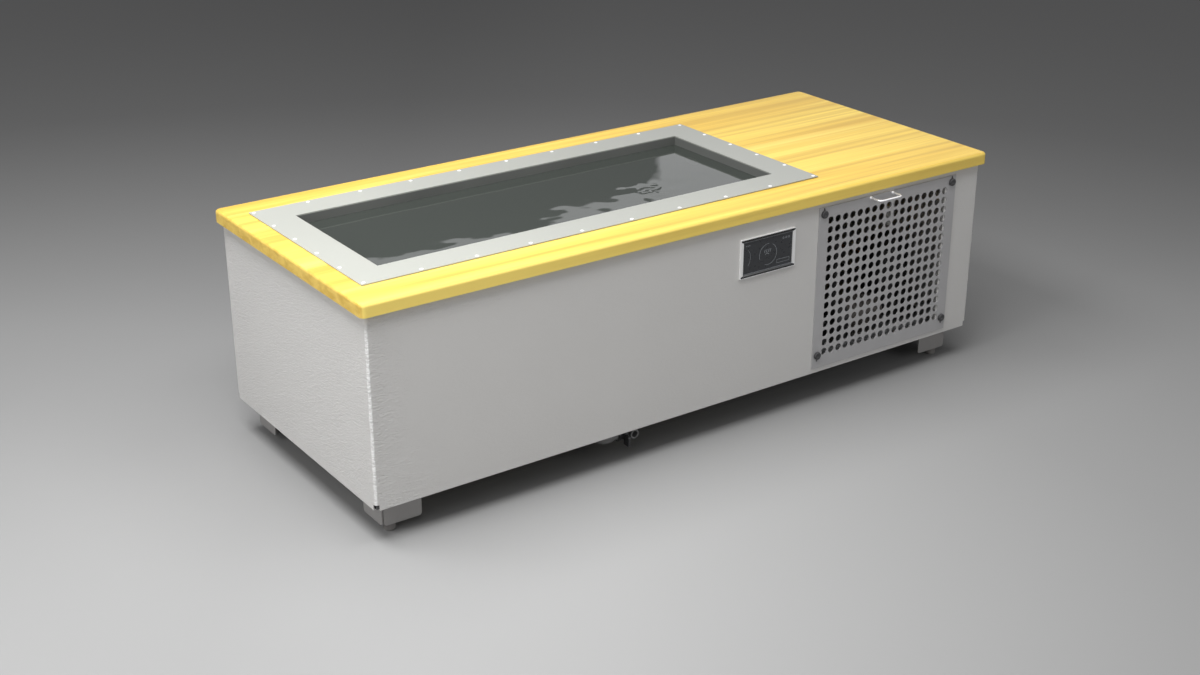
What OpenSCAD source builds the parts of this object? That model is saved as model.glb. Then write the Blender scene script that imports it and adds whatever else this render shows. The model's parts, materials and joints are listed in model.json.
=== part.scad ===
// Cold plunge tub: a wood deck on a sheet skirt, a screwed-in steel basin and a chiller bay.
// Millimetres. Origin on the floor under the middle, X along the length, front towards -Y.

/* [Overall] */
// Length of the wood deck, end to end
tub_l = 2134; // [2100:1:2300]
// Width of the wood deck, front to back
tub_w = 864; // [850:1:960]
// Height of the deck's top above the floor
top_h = 675; // [665:1:720]

/* [Deck] */
// Thickness of the deck
deck_t = 36; // [28:1:44]
// Radius of the deck's four upright corners
deck_corner_r = 15; // [11:1:40]
// Radius of the deck's eased top edge
deck_edge_r = 9; // [3:1:10]
// How far the deck stands out past the skirt
overhang = 14.6; // [8:0.1:24]

/* [Skirt] */
// Height of the skirt's lower edge above the floor
skirt_z = 104; // [94:1:113]
// Thickness of the skirt's sheet
sheet_t = 2; // [1.2:0.1:3]
// Outer bend radius of the skirt's upright corners
skirt_bend_r = 10; // [5:1:16]
// Width of the fold under the bottom edge
bottom_fold_w = 18; // [12:1:22]
// Width of the fold under the deck
top_fold_w = 30; // [22:1:34]
// Width of the corner relief at the bottom edge
notch_w = 12; // [8:1:20]
// Height of the corner relief at the bottom edge
notch_h = 15; // [8:1:24]

/* [Basin] */
// Inside width of the basin
basin_w = 468; // [420:1:500]
// Thickness of the insulation under the basin's floor
floor_foam_t = 25.5; // [10:0.5:30]
// Thickness of the basin's sheet
basin_t = 1.5; // [1:0.1:2.5]
// Distance from the deck's left end to the basin's inner wall
basin_end = 155.5; // [140:0.5:175]
// Distance from the deck's right end to the basin's inner wall
bay_end = 681; // [660:0.5:720]
// How far the basin lies behind the deck's middle line
basin_shift = 7; // [0:0.5:14]
// Width of the flat rim round the basin
rim_w = 95; // [70:1:105]
// Thickness of the rim
rim_t = 2.5; // [1.5:0.1:4]
// Screws along each long side of the rim
rim_screws_long = 10; // [6:1:14]
// Screws along each short side of the rim, corners included
rim_screws_short = 6; // [4:1:8]
// Thickness of the insulation on the basin's walls
foam_t = 20; // [10:1:24]

/* [Frame] */
// Width of the base rails
rail_w = 58; // [54:1:60]
// Height of the base rails
rail_h = 30; // [25:1:40]
// Side of the square posts and top rails
post_w = 30; // [25:1:32]
// Wall of every frame tube
tube_t = 2; // [1.5:0.1:3]
// Number of cross members under the basin and the bay
cross_count = 6; // [4:1:8]

/* [Feet] */
// Length of a foot bracket along the tub
bracket_l = 115; // [100:1:140]
// Length of a foot bracket across the tub
bracket_w = 105; // [90:1:130]
// Thickness of the bracket's sheet
bracket_t = 3; // [2:0.5:5]
// Distance from the deck's end to the bracket's face
bracket_end = 55; // [50:1:60]
// Distance from the deck's side to the bracket's face
bracket_side = 60; // [56:1:66]
// Height of the bracket's lower edge above the floor
bracket_z = 27; // [15:1:40]
// Radius of the foot pad
pad_r = 16.5; // [12:0.5:22]
// Height of the foot pad
pad_h = 30; // [18:1:36]

/* [Service panel] */
// Width of the service panel
panel_w = 548; // [544:1:556]
// Thickness of the service panel
panel_t = 3; // [2:0.5:4]
// Distance from the deck's right end to the panel
panel_end = 116.5; // [112:0.5:124]
// Distance from the deck's underside to the panel
panel_drop = 17; // [14:1:20]
// Distance from the skirt's lower edge to the panel
panel_rise = 15; // [10:1:22]
// Diameter of the vent holes
vent_d = 22; // [14:0.5:25]
// Least width of the plain edge round the vent holes
vent_edge = 24; // [20:1:60]
// Distance between the columns
vent_pitch_x = 28.66; // [27:0.01:29]
// Distance between the rows
vent_pitch_z = 29.4; // [27:0.01:30]
// Radius of a panel knob
knob_r = 12; // [9:0.5:15]
// How far a knob stands out from the panel
knob_t = 7; // [5:0.5:10]
// Distance between the legs of the pull handle
handle_span = 87; // [70:1:120]
// How far the pull handle stands out
handle_reach = 42; // [30:1:55]
// Radius of the pull handle's rod
rod_r = 3; // [2.5:0.1:4]

/* [Display] */
// Width of the display frame
display_w = 199.5; // [180:0.5:220]
// Height of the display frame
display_h = 115.5; // [100:0.5:130]
// How far the display frame stands out
display_t = 6; // [4:0.5:10]
// Distance from the display to the service panel
display_gap = 90; // [70:1:120]
// Distance from the deck's underside to the display
display_drop = 53; // [46:1:60]

/* [Drain] */
// Radius of the drain pipe
pipe_r = 12; // [10:0.5:13]
// Distance from the drain to its valve
valve_reach = 65; // [58:1:90]
// Distance of the drain valve from the deck's front edge
valve_y = 64; // [58:1:70]
// Distance of the drain pipe's axis below the skirt
valve_drop = 29; // [22:1:34]

/* [Equipment] */
// Radius of the compressor's shell
compressor_r = 76; // [60:1:80]
// Height of the compressor's shell
compressor_h = 242; // [200:1:250]
// Radius of the condenser fan
fan_r = 100; // [80:1:110]
// Blades on the condenser fan
fan_blade_count = 5; // [3:1:7]
// Radius of the filter bowl
filter_r = 55; // [45:1:60]
// Radius of the circulation pump's motor
motor_r = 48; // [40:1:50]

/* [Hidden] */
$fn = 48;

// Shared clearances and the overrun of every cut
over = 1;
slip = 0.05;
gap = 0.3;
frame_gap = 3;
top_frame_gap = 16;

// Places of the deck's edges and of the levels from the floor up
left_x = -tub_l / 2;
right_x = tub_l / 2;
front_y = -tub_w / 2;
back_y = tub_w / 2;
deck_z = top_h - deck_t;
skirt_h = deck_z - skirt_z;
rail_z = skirt_z + sheet_t;
rail_top = rail_z + rail_h;
top_rail_z = deck_z - sheet_t - post_w;

// Outer and inner faces of the skirt
skirt_l = tub_l - 2 * overhang;
skirt_w = tub_w - 2 * overhang;
skirt_front = front_y + overhang;
skirt_back = back_y - overhang;
inner_left = left_x + overhang + sheet_t;
inner_right = -inner_left;
inner_front = skirt_front + sheet_t;
inner_back = -inner_front;

// Basin, rim and insulation
basin_x0 = left_x + basin_end;
basin_x1 = right_x - bay_end;
basin_l = basin_x1 - basin_x0;
basin_y0 = basin_shift - basin_w / 2;
basin_z = rail_top + floor_foam_t + basin_t;
basin_depth = top_h - basin_z;
foam_x1 = basin_x1 + basin_t + foam_t;
deck_clear = 5;
foam_clear = 2;
rim_corner_r = 3;
gasket_t = 1;
gasket_inset = 2;
screw_inset = 11;
screw_r = 2.5;
screw_head_r = 5.5;
screw_head_h = 2.4;
screw_l = 24;
rim_z = top_h + gasket_t;
rim_pitch_x = (basin_l + 2 * rim_w - 2 * screw_inset) / (rim_screws_long - 1);
rim_pitch_y = (basin_w + 2 * rim_w - 2 * screw_inset) / (rim_screws_short - 1);
rim_x0 = basin_x0 - rim_w + screw_inset;
rim_y0 = basin_y0 - rim_w + screw_inset;

// Frame
base_x = inner_left + frame_gap;
base_y = inner_front + frame_gap;
post_x = inner_left + top_frame_gap;
post_y = inner_front + top_frame_gap;
mid_post_share = 0.42;
mid_post_x = left_x + mid_post_share * basin_l;
bulkhead_t = 1.5;
bulkhead_x = foam_x1 + frame_gap;
bay_x = bulkhead_x + bulkhead_t;
cross_w = 40;
cross_start = 267;
cross_end = 162;
cross_x0 = left_x + cross_start;
cross_pitch = (tub_l - cross_start - cross_end - cross_w) / (cross_count - 1);

// Foot brackets and feet, in from the bracket's two outer faces
foot_in_x = 33;
foot_in_y = 27;
seam = 4.5;
bracket_round = 8;
stem_r = 6;
stem_over = 6;
pad_round = 4;
pad_top_r = 12;
pad_neck = 5;
weld_nut_r = 8.5;
weld_nut_h = 8;
lock_nut_r = 10.5;
lock_nut_h = 9;
bolt_r = 4;
bolt_head_r = 6.5;
bolt_head_h = 5;
bolt_l = 14;
bolt_spot_shares = [[0.42, 0.0], [0.85, 0.0], [0.0, 0.42], [0.0, 0.85]];
bolt_in_x = 11.5;
bolt_in_y = 10.5;

// Opening behind the service panel
panel_x0 = right_x - panel_end - panel_w;
panel_z1 = deck_z - panel_drop;
panel_h = panel_z1 - skirt_z - panel_rise;
panel_mid_x = panel_x0 + panel_w / 2;
vent_cols = floor((panel_w - 2 * vent_edge) / vent_pitch_x);
vent_rows = floor((panel_h - 2 * vent_edge) / vent_pitch_z);
vent_rise = 2.4;
vent_mid_z = panel_z1 - panel_h / 2 + vent_rise;
mouth_in_x = 39;
mouth_w = panel_w - 2 * mouth_in_x;
mouth_in_top = 27;
mouth_in_bottom = 32;
mouth_x0 = panel_x0 + mouth_in_x;
mouth_z0 = panel_z1 - panel_h + mouth_in_bottom;
mouth_h = panel_h - mouth_in_top - mouth_in_bottom;
mouth_fold_d = 12;
panel_y = skirt_front - gap;

// Knobs and their receptacles
knob_in_x = 17.5;
knob_in_top = 20;
knob_in_bottom = 41;
knob_x0 = panel_x0 + knob_in_x;
knob_x1 = panel_x0 + panel_w - knob_in_x;
knob_z1 = panel_z1 - knob_in_top;
knob_z0 = panel_z1 - panel_h + knob_in_bottom;
knob_edge = 1.5;
knob_dimple_r = 4;
knob_dimple = 1;
stud_r = 3.5;
stud_clear = 0.8;
receptacle_r = 8;
receptacle_l = 12;
pointer_w = 3;
pointer_t = 2;
pointer_l = 7;
pointer_sink = 2;
wall_reach = 4;

// Pull handle
handle_in = 6.5;
handle_bend = 12;
handle_foot_r = 6;
handle_foot_h = 3;
handle_off = 31;
handle_x = panel_mid_x - handle_off;
handle_z = panel_z1 - handle_in;
handle_screw_r = 2;
handle_screw_head_r = 3.8;
handle_screw_l = 9;

// Display
bar_w = 9;
band_h = 8;
trim_t = 1.5;
mitre = 3.5;
glass_t = 2;
glass_set = 2.5;
display_bevel = 3;
display_x = panel_x0 - display_gap - display_w;
display_z = deck_z - display_drop - display_h;
housing_inset = 10;
housing_d = 28;
housing_r = 4;

// Back panel and its vent
return_w = 25;
back_lap = 15;
back_screw_rows = 3;
back_screw_r = 2;
back_screw_head_r = 4.5;
back_screw_head_h = 1.8;
back_screw_l = 8;
slot_w = 8;
slot_h = 190;
slot_count = 13;
slot_pitch = 22;

// Drain run below the basin, from the strainer to the outlet
pipe_wall = 2.5;
pipe_z = skirt_z - valve_drop;
drain_in_x = 105;
drain_in_y = 55;
drain_x = cross_x0 + cross_pitch + cross_w + drain_in_x;
drain_y = basin_y0 + drain_in_y;
drain_run_y = front_y + valve_y;
drain_reach = drain_y - drain_run_y;
valve_cx = drain_x + valve_reach;
socket_r = 15;
socket_l = 26;
elbow_r = 16;
valve_r = 15;
valve_l = 30;
valve_nut_r = 17;
valve_nut_l = 8;
valve_stem_r = 4;
valve_bonnet_r = 9;
valve_bonnet_l = 19;
paddle_t = 6.4;
paddle_d = 24;
paddle_up = 6;
paddle_down = 23;
paddle_round = 5;
outlet_x = 32;
outlet_lip = 1.5;
outlet_lip_l = 8;
strainer_r = 38;
strainer_t = 3;
strainer_hole_r = 1.2;
strainer_holes = 5;
strainer_rings = 2;

// Equipment bay
tray_t = 2;
tray_lip = 12;
tray_z = rail_top;
tray_x1 = -post_x - post_w - frame_gap;
tray_y0 = post_y + post_w + frame_gap;
bay_floor = tray_z + tray_t;
bay_h = top_rail_z - bay_floor;
bay_y = inner_front;
compressor_in_x = 445;
compressor_in_y = 178;
compressor_x = bay_x + compressor_in_x;
compressor_y = bay_y + compressor_in_y;
compressor_wall = 8;
compressor_lift = 12;
compressor_dome = 30;
compressor_plate = 176;
compressor_plate_t = 4;
grommet_r = 10;
grommet_hole_r = 4;
seam_ring = 3;
seam_ring_h = 8;
terminal_w = 46;
terminal_h = 60;
terminal_d = 26;

pump_in_x = 150;
pump_in_y = 115;
pump_axis_h = 60;
pump_x = bay_x + pump_in_x;
pump_y = bay_y + pump_in_y;
pump_z = bay_floor + pump_axis_h;
volute_r = 55;
volute_l = 50;
port_r = 17;
motor_l = 115;
motor_fin = 3;
motor_fin_count = 12;
motor_foot_w = 70;
motor_foot_t = 6;
motor_cap_l = 26;

hx_in_x = 110;
hx_in_y = 475;
hx_room = 117;
hx_back_gap = 40;
hx_x = bay_x + hx_in_x;
hx_y = bay_y + hx_in_y;
hx_l = 140;
hx_h = bay_h - hx_room;
hx_round = 12;

filter_in_y = 285;
filter_head_r = 60;
filter_head_h = 65;
filter_head_up = hx_h - filter_head_h;
filter_x = pump_x + volute_l / 2;
filter_y = bay_y + filter_in_y;
filter_head_z = bay_floor + filter_head_up;
bowl_room = 42;
filter_bowl_l = filter_head_up - bowl_room;
filter_wall = 4;
filter_lap = 20;
filter_spigot_r = 48;
cartridge_r = 33;
cartridge_pleats = 16;
pleat_d = 4;
filter_arm_w = 60;
filter_arm_h = 40;
rib_count = 12;
rib_w = 4;
rib_h = 40;

coil_in_x = 230;
coil_back_gap = 4.8;
coil_l = 320;
coil_d = 40;
coil_x = bay_x + coil_in_x;
coil_y = -tray_y0 - tray_t - coil_back_gap - coil_d;
coil_room = 129;
coil_h = bay_h - coil_room;
coil_fin = 1.5;
coil_fins = 17;
coil_tube_r = 5;
coil_tubes = 5;
coil_plate = 3;
shroud_t = 2;
shroud_d = 40;
shroud_clear = 4;
hx_w = coil_y - shroud_d - hx_back_gap - hx_y;
hub_r = 24;
hub_h = 22;
blade_t = 2.2;
blade_w = 44;
blade_pitch = 32;
fan_shaft_r = 4;
fan_shaft_l = 16;
fan_motor_r = 36;
fan_motor_l = 48;
fan_back_gap = 6;
arm_w = 10;
arm_t = 4;

water_r = 14;
water_bend = 30;
wall_port_r = 30;
wall_port_t = 5;
suction_in = 77;
suction_out = 84;
suction_y = basin_y0 + suction_in;
suction_z = pump_z;
return_rise = 40;
return_y = hx_y + hx_w / 2;
return_z = bay_floor + hx_h + water_bend + return_rise;
line_r = 5;
line_bend = 18;
line_rise = 42;

box_d = 60;
box_w = 280;
box_h = 90;
box_side_gap = 56;
box_room = 15;
box_y = return_y - water_r - box_side_gap - box_w;
box_z = bay_floor + bay_h - box_room - box_h;
box_lid = 3;
box_round = 6;
capacitor_in_x = 331;
capacitor_r = 11.5;
capacitor_h = 59;
capacitor_drop = 60;
capacitor_x = bay_x + capacitor_in_x;
capacitor_z = top_rail_z - capacitor_drop - capacitor_h;
strap_w = 16;
strap_t = 2;
strap_in = 12;
gland_r = 11;
gland_l = 16;
gland_nut_r = 14;
gland_nut_t = 5;
gland_bore_r = 5;
gland_neck_r = 8;
gland_end = 160;
gland_up = 60;
gland_x = right_x - gland_end;
gland_z = rail_top + gland_up;

// Colours
wood_colour = "#e3c26a";
steel_colour = "#c9cbc6";
skirt_colour = "#d6d4cd";
panel_colour = "#8f9092";
dark_colour = "#3b3b3c";
chrome_colour = "#eef0f1";
frame_colour = "#6b6a67";
bracket_colour = "#8a8783";
foam_colour = "#e9e2c8";
black_colour = "#1c1d1f";
glass_colour = "#35383c";
pvc_colour = "#a9abab";
copper_colour = "#b46a43";
white_colour = "#f2f2ee";

// Moves a piece so that the origin lies under the middle of the whole tub, pull handle included
module centred() {
    translate([0, (handle_reach + panel_t + gap - overhang) / 2, 0])
        children();
}

// A rectangle with rounded corners, its middle at the origin
module rounded_rect(l, w, r) {
    square([l - 2 * r, w], center = true);
    square([l, w - 2 * r], center = true);
    for (sx = [-1, 1], sy = [-1, 1]) {
        translate([sx * (l / 2 - r), sy * (w / 2 - r)])
            circle(r = r);
    }
}

// A plain block, from its low corner and its size along each axis
module block(x, y, z, l, w, h) {
    translate([x, y, z])
        cube([l, w, h]);
}

// The half section of a slab with an eased top edge, width l and height h
module eased_section(l, h, edge) {
    translate([-l / 2, 0])
        square([l, h - edge]);
    translate([edge - l / 2, 0])
        square([l - 2 * edge, h]);
    for (s = [-1, 1]) {
        translate([s * (l / 2 - edge), h - edge])
            circle(r = edge);
    }
}

// A slab with round upright corners and an eased top edge
module eased_slab(l, w, h, corner, edge) {
    translate([corner - l / 2, 0, 0])
        rotate([90, 0, 90])
            linear_extrude(l - 2 * corner)
                eased_section(w, h, edge);
    translate([0, w / 2 - corner, 0])
        rotate([90, 0, 0])
            linear_extrude(w - 2 * corner)
                eased_section(l, h, edge);
    for (sx = [-1, 1], sy = [-1, 1]) {
        translate([sx * (l / 2 - corner), sy * (w / 2 - corner), 0])
            rotate_extrude()
                intersection() {
                    eased_section(2 * corner, h, edge);
                    square([corner, h]);
                }
    }
}

// Round bars along each axis, from a point in the positive direction
module bar_x(x, y, z, r, l) {
    translate([x, y, z])
        rotate([0, 90, 0])
            cylinder(r = r, h = l);
}
module bar_y(x, y, z, r, l) {
    translate([x, y + l, z])
        rotate([90, 0, 0])
            cylinder(r = r, h = l);
}
module bar_z(x, y, z, r, l) {
    translate([x, y, z])
        cylinder(r = r, h = l);
}

// A quarter bend in the XY plane, starting along +X at the origin and turning to +Y
module bend(r, tube) {
    translate([0, r, 0])
        rotate([0, 0, -90])
            rotate_extrude(angle = 90)
                translate([r, 0])
                    circle(r = tube);
}

// A square tube along X, Y or Z, open at both ends
module tube_x(x, y, z, l, w, h) {
    difference() {
        block(x, y, z, l, w, h);
        block(x - over, y + tube_t, z + tube_t, l + 2 * over, w - 2 * tube_t, h - 2 * tube_t);
    }
}
module tube_y(x, y, z, w, l, h) {
    difference() {
        block(x, y, z, w, l, h);
        block(x + tube_t, y - over, z + tube_t, w - 2 * tube_t, l + 2 * over, h - 2 * tube_t);
    }
}
module tube_z(x, y, z, w, d, l) {
    difference() {
        block(x, y, z, w, d, l);
        block(x + tube_t, y + tube_t, z - over, w - 2 * tube_t, d - 2 * tube_t, l + 2 * over);
    }
}

// The places of the rim's screws, once round the rim
module at_rim_screws() {
    for (i = [0 : rim_screws_long - 1], far = [0, 1]) {
        translate([rim_x0 + i * rim_pitch_x, rim_y0 + far * (rim_screws_short - 1) * rim_pitch_y, 0])
            children();
    }
    for (j = [1 : rim_screws_short - 2], far = [0, 1]) {
        translate([rim_x0 + far * (rim_screws_long - 1) * rim_pitch_x, rim_y0 + j * rim_pitch_y, 0])
            children();
    }
}

module deck() {
    color(wood_colour) centred()
    difference() {
        translate([0, 0, deck_z])
            eased_slab(tub_l, tub_w, deck_t, deck_corner_r, deck_edge_r);
        block(basin_x0 - deck_clear, basin_y0 - deck_clear, deck_z - over,
            basin_l + 2 * deck_clear, basin_w + 2 * deck_clear, deck_t + 2 * over);
        at_rim_screws()
            bar_z(0, 0, rim_z + rim_t - screw_l - over, screw_r + slip, screw_l + over);
    }
}

module rim_plan(inset) {
    difference() {
        translate([basin_x0 + basin_l / 2, basin_shift])
            rounded_rect(basin_l + 2 * rim_w - 2 * inset, basin_w + 2 * rim_w - 2 * inset, rim_corner_r);
        translate([basin_x0, basin_y0])
            square([basin_l, basin_w]);
    }
}

// The seams between the basin's floor, ends, long sides and the four strips of its rim
module basin_seams() {
    for (y = [basin_y0 - slip, basin_y0 + basin_w]) {
        block(basin_x0 - rim_w, y, basin_z, basin_l + 2 * rim_w, slip, rim_z + rim_t - basin_z + over);
    }
    for (z = [basin_z - slip, rim_z - slip]) {
        block(basin_x0 - rim_w, basin_y0 - rim_w, z, basin_l + 2 * rim_w, basin_w + 2 * rim_w, slip);
    }
}

module basin() {
    color(steel_colour) centred()
    difference() {
        union() {
            translate([0, 0, rim_z])
                linear_extrude(rim_t)
                    rim_plan(0);
            difference() {
                block(basin_x0 - basin_t, basin_y0 - basin_t, basin_z - basin_t,
                    basin_l + 2 * basin_t, basin_w + 2 * basin_t, rim_z + rim_t - basin_z + basin_t);
                block(basin_x0, basin_y0, basin_z, basin_l, basin_w, rim_z + rim_t - basin_z + over);
            }
        }
        basin_seams();
        at_rim_screws()
            bar_z(0, 0, rim_z - over, screw_r + slip, rim_t + 2 * over);
        bar_z(drain_x, drain_y, basin_z - basin_t - over, socket_r + slip, basin_t + 2 * over);
        bar_x(basin_x1 - over, suction_y, suction_z, water_r + slip, basin_t + 2 * over);
        bar_x(basin_x1 - over, return_y, return_z, water_r + slip, basin_t + 2 * over);
    }
}

module rim_gasket() {
    color(black_colour) centred()
    difference() {
        translate([0, 0, top_h])
            linear_extrude(gasket_t)
                difference() {
                    rim_plan(gasket_inset);
                    translate([basin_x0 - deck_clear, basin_y0 - deck_clear])
                        square([basin_l + 2 * deck_clear, basin_w + 2 * deck_clear]);
                }
        at_rim_screws()
            bar_z(0, 0, top_h - over, screw_r + slip, gasket_t + 2 * over);
    }
}

module rim_screw() {
    rotate_extrude()
        intersection() {
            translate([0, screw_head_h - screw_head_r * screw_head_r / screw_head_h])
                circle(r = screw_head_r * screw_head_r / screw_head_h);
            square([screw_head_r, screw_head_h]);
        }
    bar_z(0, 0, over - screw_l, screw_r, screw_l);
}

module rim_screws() {
    color(chrome_colour) centred()
    translate([0, 0, rim_z + rim_t])
        at_rim_screws()
            rim_screw();
}

module basin_insulation() {
    color(foam_colour) centred()
    difference() {
        block(basin_x0 - basin_t - foam_t, basin_y0 - basin_t - foam_t, basin_z - basin_t,
            basin_l + 2 * basin_t + 2 * foam_t, basin_w + 2 * basin_t + 2 * foam_t,
            deck_z - basin_z + basin_t);
        block(basin_x0 - basin_t, basin_y0 - basin_t, basin_z - basin_t - over,
            basin_l + 2 * basin_t, basin_w + 2 * basin_t, basin_depth);
        bar_x(basin_x1, suction_y, suction_z, water_r + slip, basin_t + foam_t + over);
        bar_x(basin_x1, return_y, return_z, water_r + slip, basin_t + foam_t + over);
    }
}

module floor_insulation() {
    color(foam_colour) centred()
    difference() {
        block(basin_x0 - basin_t - foam_t, basin_y0 - basin_t - foam_t, rail_top,
            basin_l + 2 * basin_t + 2 * foam_t, basin_w + 2 * basin_t + 2 * foam_t,
            basin_z - basin_t - rail_top);
        bar_z(drain_x, drain_y, rail_top - over, socket_r + foam_clear, basin_z - rail_top + over);
    }
}

// The skirt's plan: the sheet's thickness, and the same filled in to a given fold width
module skirt_ring(width) {
    difference() {
        rounded_rect(skirt_l, skirt_w, skirt_bend_r);
        rounded_rect(skirt_l - 2 * width, skirt_w - 2 * width, skirt_bend_r - sheet_t);
    }
}

module skirt() {
    color(skirt_colour) centred()
    difference() {
        union() {
            difference() {
                translate([0, 0, skirt_z])
                    linear_extrude(skirt_h)
                        skirt_ring(sheet_t);
                block(return_w - skirt_l / 2, inner_back - over, skirt_z - over,
                    skirt_l - 2 * return_w, sheet_t + 2 * over, skirt_h + 2 * over);
            }
            intersection() {
                union() {
                    translate([0, 0, skirt_z])
                        linear_extrude(sheet_t)
                            skirt_ring(bottom_fold_w);
                    translate([0, 0, deck_z - sheet_t])
                        linear_extrude(sheet_t)
                            skirt_ring(top_fold_w);
                }
                block(-skirt_l / 2, -skirt_w / 2, skirt_z, skirt_l, skirt_w - sheet_t, skirt_h);
            }
            block(mouth_x0 - sheet_t, skirt_front, mouth_z0 - sheet_t,
                mouth_w + 2 * sheet_t, mouth_fold_d, mouth_h + 2 * sheet_t);
        }
        block(mouth_x0, skirt_front - over, mouth_z0, mouth_w, mouth_fold_d + 2 * over, mouth_h);
        block(display_x + housing_inset - gap, skirt_front - over, display_z + housing_inset - gap,
            display_w - 2 * housing_inset + 2 * gap, sheet_t + 2 * over,
            display_h - 2 * housing_inset + 2 * gap);
        for (x = [knob_x0, knob_x1], z = [knob_z0, knob_z1]) {
            bar_y(x, skirt_front - over, z, stud_r + stud_clear, sheet_t + 2 * over);
        }
        for (sx = [-1, 1], sy = [-1, 1]) {
            translate([sx * (skirt_l - notch_w) / 2, sy * (skirt_w - notch_w) / 2, skirt_z + notch_h / 2])
                cube([notch_w, notch_w, notch_h + 2 * over], center = true);
        }
        at_back_screws()
            bar_y(0, inner_back - over, 0, back_screw_r + slip, sheet_t + 2 * over);
    }
}

// The places of the back panel's screws, on the skirt's two returns
module at_back_screws() {
    for (sx = [-1, 1], j = [0 : back_screw_rows - 1]) {
        translate([sx * (skirt_l / 2 - back_lap), 0,
            rail_top + back_lap + j * (deck_z - notch_h - 2 * back_lap - rail_top) / (back_screw_rows - 1)])
            children();
    }
}

module back_panel() {
    color(skirt_colour) centred()
    difference() {
        block(inner_left + skirt_bend_r, inner_back - sheet_t, skirt_z + sheet_t,
            2 * (inner_right - skirt_bend_r), sheet_t, skirt_h - 2 * sheet_t);
        at_back_screws()
            bar_y(0, inner_back - sheet_t - over, 0, back_screw_r + slip, sheet_t + 2 * over);
        for (i = [0 : slot_count - 1]) {
            translate([coil_x + coil_l / 2 + (i - (slot_count - 1) / 2) * slot_pitch, inner_back,
                coil_slot_z()])
                rotate([90, 0, 0])
                    translate([0, 0, -over])
                        linear_extrude(sheet_t + 2 * over)
                            rounded_rect(slot_w, slot_h, slot_w / 2 - slip);
        }
        bar_y(gland_x, inner_back - sheet_t - over, gland_z, gland_neck_r + slip, sheet_t + 2 * over);
    }
}

// Height of the middle of the vent slots in the back panel
function coil_slot_z() = bay_floor + coil_h / 2;

module back_panel_screws() {
    color(chrome_colour) centred()
    at_back_screws() {
        bar_y(0, skirt_back, 0, back_screw_head_r, back_screw_head_h);
        bar_y(0, skirt_back - back_screw_l, 0, back_screw_r, back_screw_l);
    }
}

module frame_base_rails() {
    color(frame_colour) centred()
    difference() {
        union() {
            tube_x(base_x, base_y, rail_z, -2 * base_x, rail_w, rail_h);
            tube_x(base_x, -base_y - rail_w, rail_z, -2 * base_x, rail_w, rail_h);
            for (x = [base_x, -base_x - rail_w]) {
                tube_y(x, base_y + rail_w + slip, rail_z, rail_w, -2 * (base_y + rail_w + slip), rail_h);
            }
        }
        for (sx = [-1, 1], sy = [-1, 1]) {
            at_corner(sx, sy)
                for (s = bolt_spot_shares) {
                    bar_z(bolt_at_x(s), bolt_at_y(s), -over, bolt_r + slip, rail_h - tube_t);
                }
        }
    }
}

module frame_cross_members() {
    color(frame_colour) centred()
    for (i = [0 : cross_count - 1]) {
        tube_y(cross_x0 + i * cross_pitch, base_y + rail_w, rail_z, cross_w,
            -2 * (base_y + rail_w), rail_h);
    }
}

module frame_posts() {
    color(frame_colour) centred()
    for (x = [post_x, mid_post_x, bay_x, -post_x - post_w], y = [post_y, -post_y - post_w]) {
        tube_z(x, y, rail_top, post_w, post_w, top_rail_z - rail_top);
    }
}

module frame_top_rails() {
    color(frame_colour) centred() {
        for (y = [post_y, -post_y - post_w]) {
            tube_x(post_x, y, top_rail_z, -2 * post_x, post_w, post_w);
        }
        for (x = [post_x, bay_x, -post_x - post_w]) {
            tube_y(x, post_y + post_w + slip, top_rail_z, post_w, -2 * (post_y + post_w + slip), post_w);
        }
    }
}

// A foot bracket with its outer corner at the origin, folded down on two sides
module foot_bracket() {
    drop = rail_z - bracket_z;
    difference() {
        union() {
            block(0, 0, -bracket_t, bracket_l, bracket_w, bracket_t);
            translate([0, bracket_t, 0])
                rotate([90, 0, 0])
                    linear_extrude(bracket_t)
                        folded_side(bracket_l, drop);
            rotate([90, 0, 90])
                linear_extrude(bracket_t)
                    folded_side(bracket_w, drop);
            bar_z(foot_in_x, foot_in_y, 0, weld_nut_r, weld_nut_h);
        }
        bar_z(foot_in_x, foot_in_y, -bracket_t - over, stem_r + slip, bracket_t + weld_nut_h + 2 * over);
        for (s = bolt_spot_shares) {
            bar_z(bolt_at_x(s), bolt_at_y(s), -bracket_t - over, bolt_r + slip, bracket_t + 2 * over);
        }
        block(-over, -over, -drop - over, seam + over, seam + over, drop - bracket_t + over);
    }
}
function bolt_at_x(s) = s[0] == 0 ? bolt_in_x : s[0] * bracket_l;
function bolt_at_y(s) = s[1] == 0 ? bolt_in_y : s[1] * bracket_w;

// One folded-down side of a bracket, with rounded lower corners, hanging from the origin
module folded_side(l, drop) {
    translate([seam, bracket_round - drop])
        square([l - seam, drop - bracket_round]);
    translate([seam + bracket_round, -drop])
        square([l - seam - 2 * bracket_round, drop]);
    for (x = [seam + bracket_round, l - bracket_round]) {
        translate([x, bracket_round - drop])
            circle(r = bracket_round);
    }
}

// Places a child at one corner, mirrored so that its origin is the bracket's outer corner
module at_corner(sx, sy) {
    mirror([sx > 0 ? 1 : 0, 0, 0])
        mirror([0, sy > 0 ? 1 : 0, 0])
            translate([left_x + bracket_end, front_y + bracket_side, rail_z])
                children();
}

module foot_bracket_front_left() {
    color(bracket_colour) centred()
    at_corner(-1, -1)
        foot_bracket();
}
module foot_bracket_front_right() {
    color(bracket_colour) centred()
    at_corner(1, -1)
        foot_bracket();
}
module foot_bracket_back_left() {
    color(bracket_colour) centred()
    at_corner(-1, 1)
        foot_bracket();
}
module foot_bracket_back_right() {
    color(bracket_colour) centred()
    at_corner(1, 1)
        foot_bracket();
}

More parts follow.
